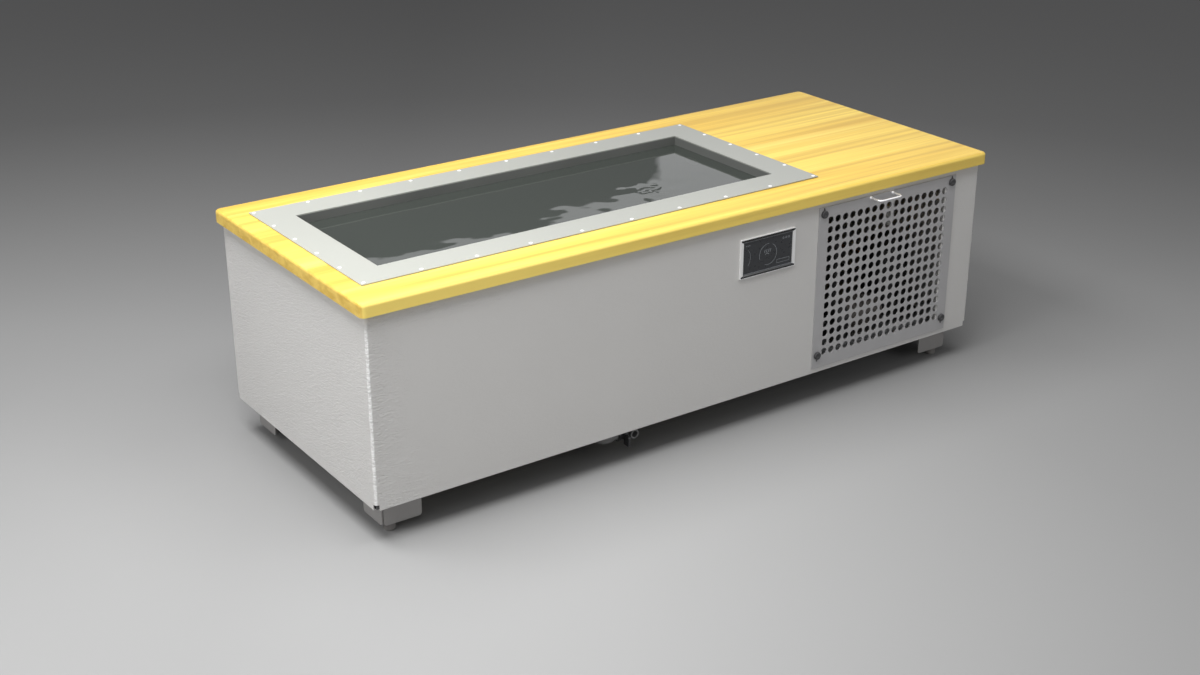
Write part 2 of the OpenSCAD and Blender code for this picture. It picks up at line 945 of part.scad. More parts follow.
module bracket_bolts() {
    color(chrome_colour) centred()
    for (sx = [-1, 1], sy = [-1, 1]) {
        at_corner(sx, sy)
            for (s = bolt_spot_shares) {
                translate([bolt_at_x(s), bolt_at_y(s), -bracket_t - bolt_head_h])
                    cylinder(r = bolt_head_r, h = bolt_head_h, $fn = 6);
                bar_z(bolt_at_x(s), bolt_at_y(s), -bracket_t - over, bolt_r, bolt_l);
            }
    }
}

module foot_lock_nuts() {
    color(chrome_colour) centred()
    for (sx = [-1, 1], sy = [-1, 1]) {
        at_corner(sx, sy)
            translate([foot_in_x, foot_in_y, -bracket_t - lock_nut_h])
                difference() {
                    cylinder(r = lock_nut_r, h = lock_nut_h, $fn = 6);
                    bar_z(0, 0, -over, stem_r + slip, lock_nut_h + 2 * over);
                }
    }
}

// A levelling foot: a moulded pad with a plain steel stem, its origin at the bracket's corner
module levelling_foot() {
    translate([foot_in_x, foot_in_y, -rail_z]) {
        rotate_extrude() {
            square([pad_r - pad_round, pad_h - pad_neck]);
            translate([0, pad_round])
                square([pad_r, pad_h - pad_neck - pad_round]);
            intersection() {
                translate([pad_r - pad_round, pad_round])
                    circle(r = pad_round);
                square([pad_r, pad_h]);
            }
            square([pad_top_r, pad_h]);
        }
        bar_z(0, 0, pad_h - over, stem_r, rail_z + weld_nut_h + stem_over - pad_h);
    }
}

module foot_front_left() {
    color(dark_colour) centred()
    at_corner(-1, -1)
        levelling_foot();
}
module foot_front_right() {
    color(dark_colour) centred()
    at_corner(1, -1)
        levelling_foot();
}
module foot_back_left() {
    color(dark_colour) centred()
    at_corner(-1, 1)
        levelling_foot();
}
module foot_back_right() {
    color(dark_colour) centred()
    at_corner(1, 1)
        levelling_foot();
}

module drain_strainer() {
    color(chrome_colour) centred()
    difference() {
        union() {
            bar_z(drain_x, drain_y, basin_z, strainer_r, strainer_t);
            bar_z(drain_x, drain_y, rail_top, socket_r, basin_z - rail_top + over);
        }
        bar_z(drain_x, drain_y, rail_top - over, pipe_r - pipe_wall, basin_z - rail_top);
        for (ring = [1 : strainer_rings], i = [1 : ring * strainer_holes]) {
            translate([drain_x, drain_y, basin_z - 2 * over])
                rotate([0, 0, i * 360 / ring / strainer_holes])
                    translate([ring * (pipe_r - pipe_wall - 2 * strainer_hole_r) / strainer_rings, 0, 0])
                        cylinder(r = strainer_hole_r, h = strainer_t + 3 * over);
        }
    }
}

module drain_pipe() {
    run = drain_reach - 2 * elbow_r;
    color(pvc_colour) centred()
    difference() {
        union() {
            bar_z(drain_x, drain_y, pipe_z + elbow_r, pipe_r, rail_top - pipe_z - elbow_r);
            bar_z(drain_x, drain_y, pipe_z + elbow_r, socket_r, socket_l);
            translate([drain_x, drain_y - elbow_r, pipe_z])
                rotate([90, 0, 90])
                    bend(elbow_r, pipe_r);
            bar_y(drain_x, drain_run_y + elbow_r, pipe_z, pipe_r, run);
            translate([drain_x, drain_run_y + elbow_r, pipe_z])
                rotate([0, 0, -90])
                    bend(elbow_r, socket_r);
            bar_y(drain_x, drain_run_y + elbow_r, pipe_z, socket_r, socket_l);
            bar_x(drain_x + elbow_r, drain_run_y, pipe_z, socket_r, socket_l / 2 + over);
            bar_x(drain_x + elbow_r, drain_run_y, pipe_z, pipe_r,
                valve_cx - valve_l / 2 - drain_x - elbow_r);
        }
    }
}

module drain_valve() {
    color(black_colour) centred()
    difference() {
        union() {
            bar_x(valve_cx - valve_l / 2, drain_run_y, pipe_z, valve_r, valve_l);
            for (s = [-1, 1]) {
                bar_x(valve_cx + s * (valve_l - valve_nut_l) / 2 - valve_nut_l / 2, drain_run_y, pipe_z,
                    valve_nut_r, valve_nut_l);
            }
            bar_y(valve_cx, drain_run_y - valve_bonnet_l, pipe_z, valve_bonnet_r, valve_bonnet_l);
        }
        bar_y(valve_cx, drain_run_y - valve_bonnet_l - over, pipe_z, valve_stem_r + slip, valve_bonnet_l);
    }
}

module drain_valve_lever() {
    color(black_colour) centred()
    union() {
        bar_y(valve_cx, drain_run_y - valve_bonnet_l - gap - over, pipe_z, valve_stem_r,
            valve_bonnet_l - gap);
        translate([valve_cx - paddle_t / 2, drain_run_y - valve_bonnet_l - gap - paddle_d,
            pipe_z - paddle_down])
            rotate([90, 0, 90])
                linear_extrude(paddle_t)
                    translate([paddle_d / 2, (paddle_up + paddle_down) / 2])
                        rounded_rect(paddle_d, paddle_up + paddle_down, paddle_round);
    }
}

module drain_outlet() {
    start_x = valve_cx + valve_l / 2;
    color(pvc_colour) centred()
    difference() {
        union() {
            bar_x(start_x, drain_run_y, pipe_z, pipe_r, outlet_x - valve_l / 2 - elbow_r);
            translate([valve_cx + outlet_x - elbow_r, drain_run_y, pipe_z])
                mirror([0, 1, 0])
                    bend(elbow_r, pipe_r);
            bar_y(valve_cx + outlet_x, drain_run_y - elbow_r - outlet_lip_l, pipe_z,
                pipe_r + outlet_lip, outlet_lip_l);
        }
        bar_y(valve_cx + outlet_x, drain_run_y - elbow_r - outlet_lip_l - over, pipe_z,
            pipe_r - pipe_wall, outlet_lip_l + over);
        translate([valve_cx + outlet_x - elbow_r, drain_run_y, pipe_z])
            mirror([0, 1, 0])
                bend(elbow_r, pipe_r - pipe_wall);
    }
}

module service_panel() {
    color(panel_colour) centred()
    translate([0, panel_y, 0])
        rotate([90, 0, 0])
            linear_extrude(panel_t)
                difference() {
                    translate([panel_x0, panel_z1 - panel_h])
                        square([panel_w, panel_h]);
                    for (i = [0 : vent_cols - 1], j = [0 : vent_rows - 1]) {
                        translate([panel_mid_x + (i - (vent_cols - 1) / 2) * vent_pitch_x,
                            vent_mid_z + (j - (vent_rows - 1) / 2) * vent_pitch_z])
                            circle(d = vent_d);
                    }
                    for (x = [knob_x0, knob_x1], z = [knob_z0, knob_z1]) {
                        translate([x, z])
                            circle(r = stud_r + slip);
                    }
                    for (s = [-1, 1]) {
                        translate([handle_x + s * handle_span / 2, handle_z])
                            circle(r = handle_screw_head_r);
                    }
                }
}

module panel_handle() {
    face = panel_y - panel_t;
    leg = handle_reach - handle_bend - rod_r;
    color(chrome_colour) centred()
    difference() {
        union() {
            for (s = [-1, 1]) {
                bar_y(handle_x + s * handle_span / 2, face - leg, handle_z, rod_r, leg);
                translate([handle_x + s * handle_span / 2, face, handle_z])
                    rotate([90, 0, 0])
                        cylinder(r1 = handle_foot_r, r2 = rod_r, h = handle_foot_h);
            }
            translate([handle_x - handle_span / 2, face - leg, handle_z])
                rotate([0, 0, -90])
                    bend(handle_bend, rod_r);
            translate([handle_x + handle_span / 2, face - leg, handle_z])
                mirror([1, 0, 0])
                    rotate([0, 0, -90])
                        bend(handle_bend, rod_r);
            bar_x(handle_x - handle_span / 2 + handle_bend, face - leg - handle_bend, handle_z, rod_r,
                handle_span - 2 * handle_bend);
        }
        for (s = [-1, 1]) {
            bar_y(handle_x + s * handle_span / 2, face - handle_screw_l, handle_z,
                handle_screw_r + slip, handle_screw_l + over);
        }
    }
}

module handle_screws() {
    color(steel_colour) centred()
    for (s = [-1, 1]) {
        bar_y(handle_x + s * handle_span / 2, panel_y - panel_t, handle_z,
            handle_screw_head_r - slip, panel_t);
        bar_y(handle_x + s * handle_span / 2, panel_y - panel_t - handle_screw_l + over, handle_z,
            handle_screw_r, handle_screw_l);
    }
}

// A quarter-turn knob with its stud, on the panel's face at the origin, pointing up
module knob() {
    rotate([90, 0, 0]) {
        difference() {
            rotate_extrude() {
                square([knob_r, knob_t - knob_edge]);
                square([knob_r - knob_edge, knob_t]);
                intersection() {
                    translate([knob_r - knob_edge, knob_t - knob_edge])
                        circle(r = knob_edge);
                    square([knob_r, knob_t]);
                }
            }
            translate([0, 0, knob_t - knob_dimple])
                cylinder(r = knob_dimple_r, h = knob_dimple + over);
        }
        translate([-pointer_w / 2, knob_r - pointer_sink, 0])
            cube([pointer_w, pointer_l + pointer_sink, pointer_t]);
    }
    bar_y(0, -over, 0, stud_r, over + panel_t + gap + sheet_t + receptacle_l - wall_reach + gap);
}

module knob_at(x, z, flip) {
    translate([x, panel_y - panel_t - gap, z])
        mirror([0, 0, flip])
            knob();
}

module knob_top_left() {
    color(dark_colour) centred()
    knob_at(knob_x0, knob_z1, 0);
}
module knob_top_right() {
    color(dark_colour) centred()
    knob_at(knob_x1, knob_z1, 0);
}
module knob_bottom_left() {
    color(dark_colour) centred()
    knob_at(knob_x0, knob_z0, 1);
}
module knob_bottom_right() {
    color(dark_colour) centred()
    knob_at(knob_x1, knob_z0, 1);
}

module knob_receptacles() {
    color(steel_colour) centred()
    for (x = [knob_x0, knob_x1], z = [knob_z0, knob_z1]) {
        difference() {
            bar_y(x, inner_front, z, receptacle_r, receptacle_l);
            bar_y(x, inner_front - over, z, stud_r + slip, over + receptacle_l - wall_reach + 2 * gap);
        }
    }
}

// A thin silver shell round the display, with a wider bar down each side, mitred to the bands
module display_frame() {
    low = trim_t + band_h;
    color(chrome_colour) centred()
    translate([display_x, skirt_front, display_z])
        rotate([90, 0, 0])
            linear_extrude(display_t) {
                difference() {
                    square([display_w, display_h]);
                    translate([trim_t, trim_t])
                        square([display_w - 2 * trim_t, display_h - 2 * trim_t]);
                }
                for (right = [0, 1]) {
                    translate([right * display_w, 0])
                        mirror([right, 0])
                            polygon([[0, low - mitre], [trim_t, low - mitre], [bar_w, low],
                                [bar_w, display_h - low], [trim_t, display_h - low + mitre],
                                [0, display_h - low + mitre]]);
                }
            }
}

module display_bands() {
    low = trim_t + band_h;
    color(black_colour) centred()
    translate([display_x, skirt_front, display_z])
        for (top = [0, 1]) {
            translate([0, 0, top * display_h])
                mirror([0, 0, top])
                    intersection() {
                        rotate([90, 0, 0])
                            linear_extrude(display_t)
                                polygon([[trim_t, trim_t], [display_w - trim_t, trim_t],
                                    [display_w - trim_t, low - mitre], [display_w - bar_w, low],
                                    [bar_w, low], [trim_t, low - mitre]]);
                        translate([0, 0, trim_t])
                            rotate([90, 0, 90])
                                linear_extrude(display_w)
                                    polygon([[0, 0], [-display_t, 0],
                                        [-display_t, band_h - display_bevel],
                                        [-glass_set - glass_t, band_h], [0, band_h]]);
                    }
        }
}

module display_glass() {
    color(glass_colour) centred()
    block(display_x + bar_w, skirt_front - glass_set, display_z + trim_t + band_h,
        display_w - 2 * bar_w, glass_set, display_h - 2 * trim_t - 2 * band_h);
}

module display_housing() {
    color(black_colour) centred()
    translate([display_x + display_w / 2, skirt_front + housing_d, display_z + display_h / 2])
        rotate([90, 0, 0])
            linear_extrude(housing_d)
                rounded_rect(display_w - 2 * housing_inset, display_h - 2 * housing_inset, housing_r);
}

module equipment_tray() {
    color(steel_colour) centred()
    difference() {
        block(bay_x, tray_y0, tray_z, tray_x1 - bay_x, -2 * tray_y0, tray_t + tray_lip);
        block(bay_x - over, tray_y0 + tray_t, bay_floor, tray_x1 - bay_x - tray_t + over,
            -2 * (tray_y0 + tray_t), tray_lip + over);
    }
}

module bulkhead() {
    color(steel_colour) centred()
    difference() {
        block(bulkhead_x, post_y, rail_top, bulkhead_t, -2 * post_y, top_rail_z - rail_top);
        bar_x(bulkhead_x - over, suction_y, suction_z, water_r + slip, bulkhead_t + 2 * over);
        bar_x(bulkhead_x - over, return_y, return_z, water_r + slip, bulkhead_t + 2 * over);
    }
}

module compressor_shell() {
    base = bay_floor + compressor_lift + compressor_plate_t;
    color(black_colour) centred()
    translate([compressor_x, compressor_y, base]) {
        difference() {
            union() {
                cylinder(r = compressor_r, h = compressor_h - compressor_dome);
                translate([0, 0, compressor_h - compressor_dome])
                    cylinder(r1 = compressor_r, r2 = compressor_r - compressor_dome, h = compressor_dome);
                translate([0, 0, compressor_h / 2])
                    cylinder(r = compressor_r + seam_ring, h = seam_ring_h);
            }
            translate([0, 0, -over])
                cylinder(r = compressor_r - compressor_wall,
                    h = compressor_h - compressor_dome - compressor_wall + over);
        }
        difference() {
            translate([-terminal_w / 2, -compressor_r - terminal_d / 2, compressor_h / 5])
                cube([terminal_w, terminal_d, terminal_h]);
            translate([0, 0, -over])
                cylinder(r = compressor_r - compressor_wall / 2, h = compressor_h);
        }
    }
}

module compressor_base() {
    side = compressor_plate / 2;
    color(frame_colour) centred()
    translate([compressor_x, compressor_y, bay_floor])
        difference() {
            union() {
                translate([0, 0, compressor_lift])
                    linear_extrude(compressor_plate_t)
                        rounded_rect(compressor_plate, compressor_plate, grommet_r);
                for (sx = [-1, 1], sy = [-1, 1]) {
                    bar_z(sx * (side - grommet_r), sy * (side - grommet_r), 0, grommet_r,
                        compressor_lift + compressor_plate_t + tray_t);
                }
            }
            for (sx = [-1, 1], sy = [-1, 1]) {
                bar_z(sx * (side - grommet_r), sy * (side - grommet_r), -over, grommet_hole_r,
                    compressor_lift + compressor_plate_t + tray_t + 2 * over);
            }
        }
}

module pump_body() {
    color(black_colour) centred()
    union() {
        bar_x(pump_x, pump_y, pump_z, volute_r, volute_l);
        bar_x(pump_x - port_r, pump_y, pump_z, port_r, port_r + over);
        bar_z(filter_x, pump_y, pump_z, port_r, volute_r + port_r);
        block(pump_x, pump_y - motor_foot_w / 2, bay_floor, volute_l, motor_foot_w, pump_z - bay_floor);
    }
}

module pump_motor() {
    start = pump_x + volute_l;
    color(panel_colour) centred()
    union() {
        bar_x(start, pump_y, pump_z, motor_r, motor_l);
        bar_x(start + motor_l - over, pump_y, pump_z, motor_r - motor_fin, motor_cap_l);
        for (i = [0 : motor_fin_count - 1]) {
            translate([start + motor_fin, pump_y, pump_z])
                rotate([i * 360 / motor_fin_count, 0, 0])
                    block(0, 0, motor_r - motor_fin, motor_l - 2 * motor_fin, motor_fin, 2 * motor_fin);
        }
        block(start + motor_l / 4, pump_y - motor_foot_w / 2, bay_floor, motor_l / 2, motor_foot_w,
            motor_foot_t);
        block(start + motor_l / 4, pump_y - motor_foot_t, bay_floor, motor_l / 2, 2 * motor_foot_t,
            pump_z - bay_floor - motor_r + motor_fin);
    }
}

module filter_head() {
    color(black_colour) centred()
    difference() {
        union() {
            bar_z(filter_x, filter_y, filter_head_z, filter_head_r, filter_head_h);
            bar_y(filter_x, filter_y - filter_head_r - port_r, filter_head_z + filter_head_h / 2,
                port_r, 2 * (filter_head_r + port_r));
            block(bay_x, filter_y - filter_arm_w / 2, filter_head_z + filter_lap,
                filter_x - bay_x, filter_arm_w, filter_arm_h);
        }
        bar_z(filter_x, filter_y, filter_head_z - over, filter_spigot_r + slip, filter_lap + gap + over);
    }
}

module filter_bowl() {
    color(glass_colour) centred()
    translate([filter_x, filter_y, filter_head_z]) {
        difference() {
            union() {
                translate([0, 0, -gap - filter_bowl_l])
                    cylinder(r = filter_r, h = filter_bowl_l);
                translate([0, 0, -gap - over])
                    cylinder(r = filter_spigot_r, h = filter_lap + over);
                for (i = [0 : rib_count - 1]) {
                    rotate([0, 0, i * 360 / rib_count])
                        block(filter_r - rib_w, -rib_w / 2, -gap - filter_bowl_l,
                            3 * rib_w / 2, rib_w, rib_h);
                }
            }
            translate([0, 0, -gap - filter_bowl_l + filter_wall])
                cylinder(r = filter_spigot_r - filter_wall, h = filter_bowl_l + filter_lap);
        }
    }
}

module filter_cartridge() {
    top = filter_head_z + filter_lap + gap;
    long = filter_bowl_l - filter_wall - gap;
    color(white_colour) centred()
    translate([filter_x, filter_y, top - long])
        union() {
            cylinder(r = cartridge_r - pleat_d, h = long);
            for (i = [0 : cartridge_pleats - 1]) {
                rotate([0, 0, i * 360 / cartridge_pleats])
                    block(cartridge_r - 2 * pleat_d, -pleat_d / 2, 2 * pleat_d, 2 * pleat_d, pleat_d,
                        long - 4 * pleat_d);
            }
            cylinder(r = cartridge_r + pleat_d, h = 2 * pleat_d);
            translate([0, 0, long - 2 * pleat_d])
                cylinder(r = cartridge_r + pleat_d, h = 2 * pleat_d);
        }
}

module condenser_coil() {
    step_x = (coil_l - coil_fin - 2 * coil_plate) / (coil_fins - 1);
    step_z = coil_h / coil_tubes;
    color(steel_colour) centred()
    translate([coil_x, coil_y, bay_floor])
        union() {
            for (i = [0 : coil_fins - 1]) {
                block(coil_plate + i * step_x, coil_fin, coil_fin, coil_fin, coil_d - 2 * coil_fin,
                    coil_h - 2 * coil_fin);
            }
            for (s = [0, 1]) {
                block(s * (coil_l - coil_plate), 0, 0, coil_plate, coil_d, coil_h);
            }
            for (k = [0 : coil_tubes - 1]) {
                bar_x(0, coil_d / 2, step_z * (k + 1 / 2), coil_tube_r, coil_l);
            }
        }
}

module fan_shroud() {
    color(steel_colour) centred()
    translate([coil_x, coil_y - shroud_d, bay_floor])
        difference() {
            block(0, 0, 0, coil_l, shroud_d, coil_h);
            block(shroud_t, shroud_t, shroud_t, coil_l - 2 * shroud_t, shroud_d, coil_h - 2 * shroud_t);
            bar_y(coil_l / 2, -over, coil_h / 2, fan_r + shroud_clear, shroud_t + 2 * over);
        }
}

module fan_blades() {
    color(black_colour) centred()
    translate([coil_x + coil_l / 2, coil_y - shroud_d + shroud_t, bay_floor + coil_h / 2])
        rotate([-90, 0, 0]) {
            cylinder(r = hub_r, h = hub_h);
            translate([0, 0, -fan_shaft_l])
                cylinder(r = fan_shaft_r, h = fan_shaft_l + over);
            intersection() {
                translate([0, 0, -hub_h / 2])
                    cylinder(r = fan_r, h = 2 * hub_h);
                for (i = [0 : fan_blade_count - 1]) {
                    rotate([0, 0, i * 360 / fan_blade_count])
                        translate([hub_r - shroud_clear, 0, hub_h / 2])
                            rotate([blade_pitch, 0, 0])
                                translate([0, -blade_w / 2, -blade_t / 2])
                                    cube([fan_r, blade_w, blade_t]);
                }
            }
        }
}

module fan_motor() {
    front = coil_y - shroud_d - fan_back_gap - fan_motor_l;
    reach = (fan_r + shroud_clear + coil_h / 2) / 2;
    color(frame_colour) centred()
    translate([coil_x + coil_l / 2, 0, bay_floor + coil_h / 2])
        difference() {
            union() {
                bar_y(0, front, 0, fan_motor_r, fan_motor_l);
                for (s = [-1, 1]) {
                    block(-arm_w / 2, front, s * (fan_motor_r + reach) / 2
                        - (reach - fan_motor_r + 2 * arm_t) / 2,
                        arm_w, arm_t, reach - fan_motor_r + 2 * arm_t);
                    block(-arm_w / 2, front, s * reach - arm_t / 2,
                        arm_w, coil_y - shroud_d - front, arm_t);
                }
            }
            bar_y(0, front + fan_motor_l - fan_shaft_l + fan_back_gap - gap, 0,
                fan_shaft_r + slip, fan_shaft_l + over);
        }
}

module heat_exchanger() {
    color(black_colour) centred()
    translate([hx_x + hx_l / 2, hx_y + hx_w / 2, bay_floor])
        linear_extrude(hx_h)
            rounded_rect(hx_l, hx_w, hx_round);
}

module suction_pipe() {
    turn_x = basin_x1 + suction_out;
    run = suction_y - pump_y - 2 * water_bend;
    color(pvc_colour) centred() {
        bar_x(basin_x1 - wall_port_t, suction_y, suction_z, wall_port_r, wall_port_t);
        bar_x(basin_x1 - over, suction_y, suction_z, water_r, turn_x - basin_x1 + over);
        translate([turn_x, suction_y, suction_z])
            mirror([0, 1, 0])
                bend(water_bend, water_r);
        bar_y(turn_x + water_bend, pump_y + water_bend, suction_z, water_r, run);
        translate([turn_x + water_bend, pump_y + water_bend, suction_z])
            rotate([0, 0, -90])
                bend(water_bend, water_r);
        bar_x(turn_x + 2 * water_bend, pump_y, suction_z, water_r,
            pump_x - port_r - turn_x - 2 * water_bend);
    }
}

module return_pipe() {
    up_x = hx_x + hx_l / 4;
    color(white_colour) centred() {
        bar_x(basin_x1 - wall_port_t, return_y, return_z, wall_port_r, wall_port_t);
        bar_x(basin_x1 - over, return_y, return_z, water_r, up_x - water_bend - basin_x1 + over);
        translate([up_x - water_bend, return_y, return_z])
            rotate([-90, 0, 0])
                bend(water_bend, water_r);
        bar_z(up_x, return_y, bay_floor + hx_h, water_r, return_rise);
    }
}

module water_hoses() {
    level = filter_head_z + filter_head_h / 2;
    port_z = pump_z + volute_r + port_r;
    color(black_colour) centred() {
        bar_z(filter_x, pump_y, port_z, water_r, level - water_bend - port_z);
        translate([filter_x, pump_y, level - water_bend])
            rotate([90, 0, 90])
                rotate([0, 0, 90])
                    mirror([0, 1, 0])
                        bend(water_bend, water_r);
        bar_y(filter_x, pump_y + water_bend, level, water_r,
            filter_y - filter_head_r - port_r - pump_y - water_bend);
        bar_y(filter_x, filter_y + filter_head_r + port_r, level, water_r,
            hx_y - filter_y - filter_head_r - port_r);
    }
}

// A line that rises from one top, runs along +Y and drops to another
module line_over(x, y0, z0, y1, z1, level) {
    bar_z(x, y0, z0, line_r, level - line_bend - z0);
    translate([x, y0, level - line_bend])
        rotate([90, 0, 90])
            rotate([0, 0, 90])
                mirror([0, 1, 0])
                    bend(line_bend, line_r);
    bar_y(x, y0 + line_bend, level, line_r, y1 - y0 - 2 * line_bend);
    translate([x, y1, level - line_bend])
        mirror([0, 1, 0])
            rotate([90, 0, 90])
                rotate([0, 0, 90])
                    mirror([0, 1, 0])
                        bend(line_bend, line_r);
    bar_z(x, y1, z1, line_r, level - line_bend - z1);
}

module refrigerant_lines() {
    shell_top = bay_floor + compressor_lift + compressor_plate_t + compressor_h;
    coil_top = bay_floor + coil_h;
    coil_mid = coil_y + coil_d / 2;
    low_z = bay_floor + compressor_h / 2 + line_rise;
    gas_y = hx_y + hx_w / 4;
    color(copper_colour) centred() {
        line_over(coil_x + coil_l - coil_plate / 2, compressor_y, shell_top, coil_mid, coil_top,
            max(shell_top, coil_top) + line_rise);
        line_over(coil_x + coil_plate / 2, hx_y + hx_w / 2, bay_floor + hx_h, coil_mid, coil_top,
            bay_floor + hx_h + line_rise);
        bar_x(hx_x + hx_l, gas_y, low_z, line_r, compressor_x - line_bend - hx_x - hx_l);
        translate([compressor_x - line_bend, gas_y, low_z])
            mirror([0, 1, 0])
                bend(line_bend, line_r);
        bar_y(compressor_x, compressor_y + compressor_r, low_z, line_r,
            gas_y - line_bend - compressor_y - compressor_r);
    }
}

// The control box on the bulkhead, and its capacitor on a strap from the front top rail
module control_box() {
    color(white_colour) centred() {
        translate([bay_x, box_y, box_z])
            rotate([90, 0, 90])
                translate([box_w / 2, box_h / 2, 0]) {
                    linear_extrude(box_d - box_lid)
                        rounded_rect(box_w - box_lid, box_h - box_lid, box_round);
                    translate([0, 0, box_d - box_lid])
                        linear_extrude(box_lid)
                            rounded_rect(box_w, box_h, box_round);
                }
        bar_z(capacitor_x, post_y + post_w + strap_t + slip + capacitor_r, capacitor_z, capacitor_r,
            capacitor_h);
        block(capacitor_x - strap_w / 2, post_y + post_w, capacitor_z + strap_in, strap_w, strap_t,
            capacitor_h - strap_in + capacitor_drop + post_w / 2);
    }
}

module cable_gland() {
    color(black_colour) centred()
    translate([gland_x, 0, gland_z])
        difference() {
            union() {
                bar_y(0, inner_back, 0, gland_r, gland_l);
                bar_y(0, inner_back - sheet_t - over, 0, gland_neck_r, sheet_t + 2 * over);
                bar_y(0, inner_back - sheet_t - gland_nut_t, 0, gland_nut_r, gland_nut_t);
            }
            bar_y(0, inner_back - sheet_t - gland_nut_t - over, 0, gland_bore_r,
                sheet_t + gland_nut_t + gland_l + 2 * over);
        }
}

deck();
basin();
rim_gasket();
rim_screws();
basin_insulation();
floor_insulation();
skirt();
back_panel();
back_panel_screws();
frame_base_rails();
frame_cross_members();
frame_posts();
frame_top_rails();
foot_bracket_front_left();
foot_bracket_front_right();
foot_bracket_back_left();
foot_bracket_back_right();
bracket_bolts();
foot_lock_nuts();
foot_front_left();
foot_front_right();
foot_back_left();
foot_back_right();
drain_strainer();
drain_pipe();
drain_valve();
drain_valve_lever();
drain_outlet();
service_panel();
panel_handle();
handle_screws();
knob_top_left();
knob_top_right();
knob_bottom_left();
knob_bottom_right();
knob_receptacles();
display_frame();
display_bands();
display_glass();
display_housing();
equipment_tray();
bulkhead();
compressor_shell();
compressor_base();
pump_body();
pump_motor();
filter_head();
filter_bowl();
filter_cartridge();
condenser_coil();
fan_shroud();
fan_blades();
fan_motor();
heat_exchanger();
suction_pipe();
return_pipe();
water_hoses();
refrigerant_lines();
control_box();
cable_gland();
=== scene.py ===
import json
import math

import bpy
from mathutils import Euler, Matrix, Vector, noise


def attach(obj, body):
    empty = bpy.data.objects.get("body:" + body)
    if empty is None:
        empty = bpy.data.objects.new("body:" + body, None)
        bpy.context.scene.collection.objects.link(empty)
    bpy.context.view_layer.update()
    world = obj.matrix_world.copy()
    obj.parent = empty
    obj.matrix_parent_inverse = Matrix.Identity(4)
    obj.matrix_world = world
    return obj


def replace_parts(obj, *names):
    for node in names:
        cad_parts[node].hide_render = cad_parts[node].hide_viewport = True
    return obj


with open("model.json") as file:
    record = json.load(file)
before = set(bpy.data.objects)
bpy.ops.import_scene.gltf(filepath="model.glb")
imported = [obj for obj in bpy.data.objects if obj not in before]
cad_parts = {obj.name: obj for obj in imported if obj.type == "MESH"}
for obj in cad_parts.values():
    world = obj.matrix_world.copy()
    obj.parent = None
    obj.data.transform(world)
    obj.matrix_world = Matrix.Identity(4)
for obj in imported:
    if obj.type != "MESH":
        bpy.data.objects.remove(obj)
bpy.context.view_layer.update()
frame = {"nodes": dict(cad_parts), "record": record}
NODES = frame["nodes"]
MM = 0.001

# Sizes of the CAD model that the pieces below sit on, in metres, in the row frame.
# SHIFT is how far the frame moves the CAD's Y to centre the whole tub.
SHIFT = 0.01535
TOP = 0.675
BASIN_X0, BASIN_X1 = -0.9115, 0.386
BASIN_Y0, BASIN_Y1 = -0.227 + SHIFT, 0.241 + SHIFT
BASIN_FLOOR = 0.163
RIM_TOP = 0.6785
RIM_SCREW_X0, RIM_PITCH_X, RIM_COLS = -0.9955, 0.1628333, 10
RIM_SCREW_Y0, RIM_PITCH_Y, RIM_ROWS = -0.311 + SHIFT, 0.1272, 6
BACK_FACE = 0.4174 + SHIFT
BACK_SCREW_X, BACK_SCREW_Z, BACK_PITCH_Z, BACK_SCREWS = 1.0374, 0.151, 0.229, 6
PANEL_FACE = -0.421 + SHIFT
KNOB_X = {"left": 0.420, "right": 0.933}
KNOB_Z = {"top": 0.602, "bottom": 0.160}
GLASS_FACE, GLASS_MID_X, GLASS_MID_Z = -0.4199 + SHIFT, 0.21275, 0.52825
FOOT_X = {"left": -0.979, "right": 0.979}
FOOT_Y = {"front": -0.345 + SHIFT, "back": 0.345 + SHIFT}

# The water: its depth below the deck's top, its gap to the steel, and where the return jet comes up
WATER_DROP, WATER_GAP = 0.0245, 0.0004
JET_X, JET_Y = 0.06, -0.06

# The camera: its sensor in mm, then its focal length and the photograph's width in pixels
SENSOR, FOCAL_PX, FRAME_PX = 36.0, 1712.038, 1200


# Material helpers
class Nodes:
    """A short way to write a node tree."""

    def __init__(self, tree):
        self.tree = tree
        tree.nodes.clear()

    def put(self, socket, value):
        if isinstance(value, bpy.types.NodeSocket):
            self.tree.links.new(value, socket)
        else:
            socket.default_value = value

    def node(self, kind, inputs=(), **settings):
        made = self.tree.nodes.new(kind)
        for key, value in settings.items():
            setattr(made, key, value)
        for key, value in dict(inputs).items():
            self.put(made.inputs[key], value)
        return made

    def ramp(self, value, stops):
        made = self.node("ShaderNodeValToRGB", {"Fac": value})
        ramp = made.color_ramp
        while len(ramp.elements) < len(stops):
            ramp.elements.new(0.5)
        for element, (place, colour) in zip(ramp.elements, stops):
            element.position = place
            element.color = (*colour, 1.0) if isinstance(colour, tuple) else (colour, colour, colour, 1.0)
        return made.outputs[0]

    def mix(self, factor, first, second, blend="MIX"):
        made = self.node("ShaderNodeMix", data_type="RGBA", blend_type=blend)
        self.put(made.inputs[0], factor)
        for socket, value in ((made.inputs[6], first), (made.inputs[7], second)):
            self.put(socket, (*value, 1.0) if isinstance(value, tuple) else value)
        return made.outputs[2]

    def math(self, operation, first, second=0.0, third=0.0):
        made = self.node("ShaderNodeMath", operation=operation)
        for socket, value in zip(made.inputs, (first, second, third)):
            self.put(socket, value)
        return made.outputs[0]

    def apart(self, vector):
        """The X, Y and Z of a vector."""
        return self.node("ShaderNodeSeparateXYZ", {"Vector": vector}).outputs

    def fade(self, value, near, far, start=0.0, end=1.0):
        """From start, where the value is near or beyond it, to end, where it is far or beyond."""
        return self.node("ShaderNodeMapRange", {
            "Value": value, "From Min": near, "From Max": far, "To Min": start, "To Max": end}).outputs[0]


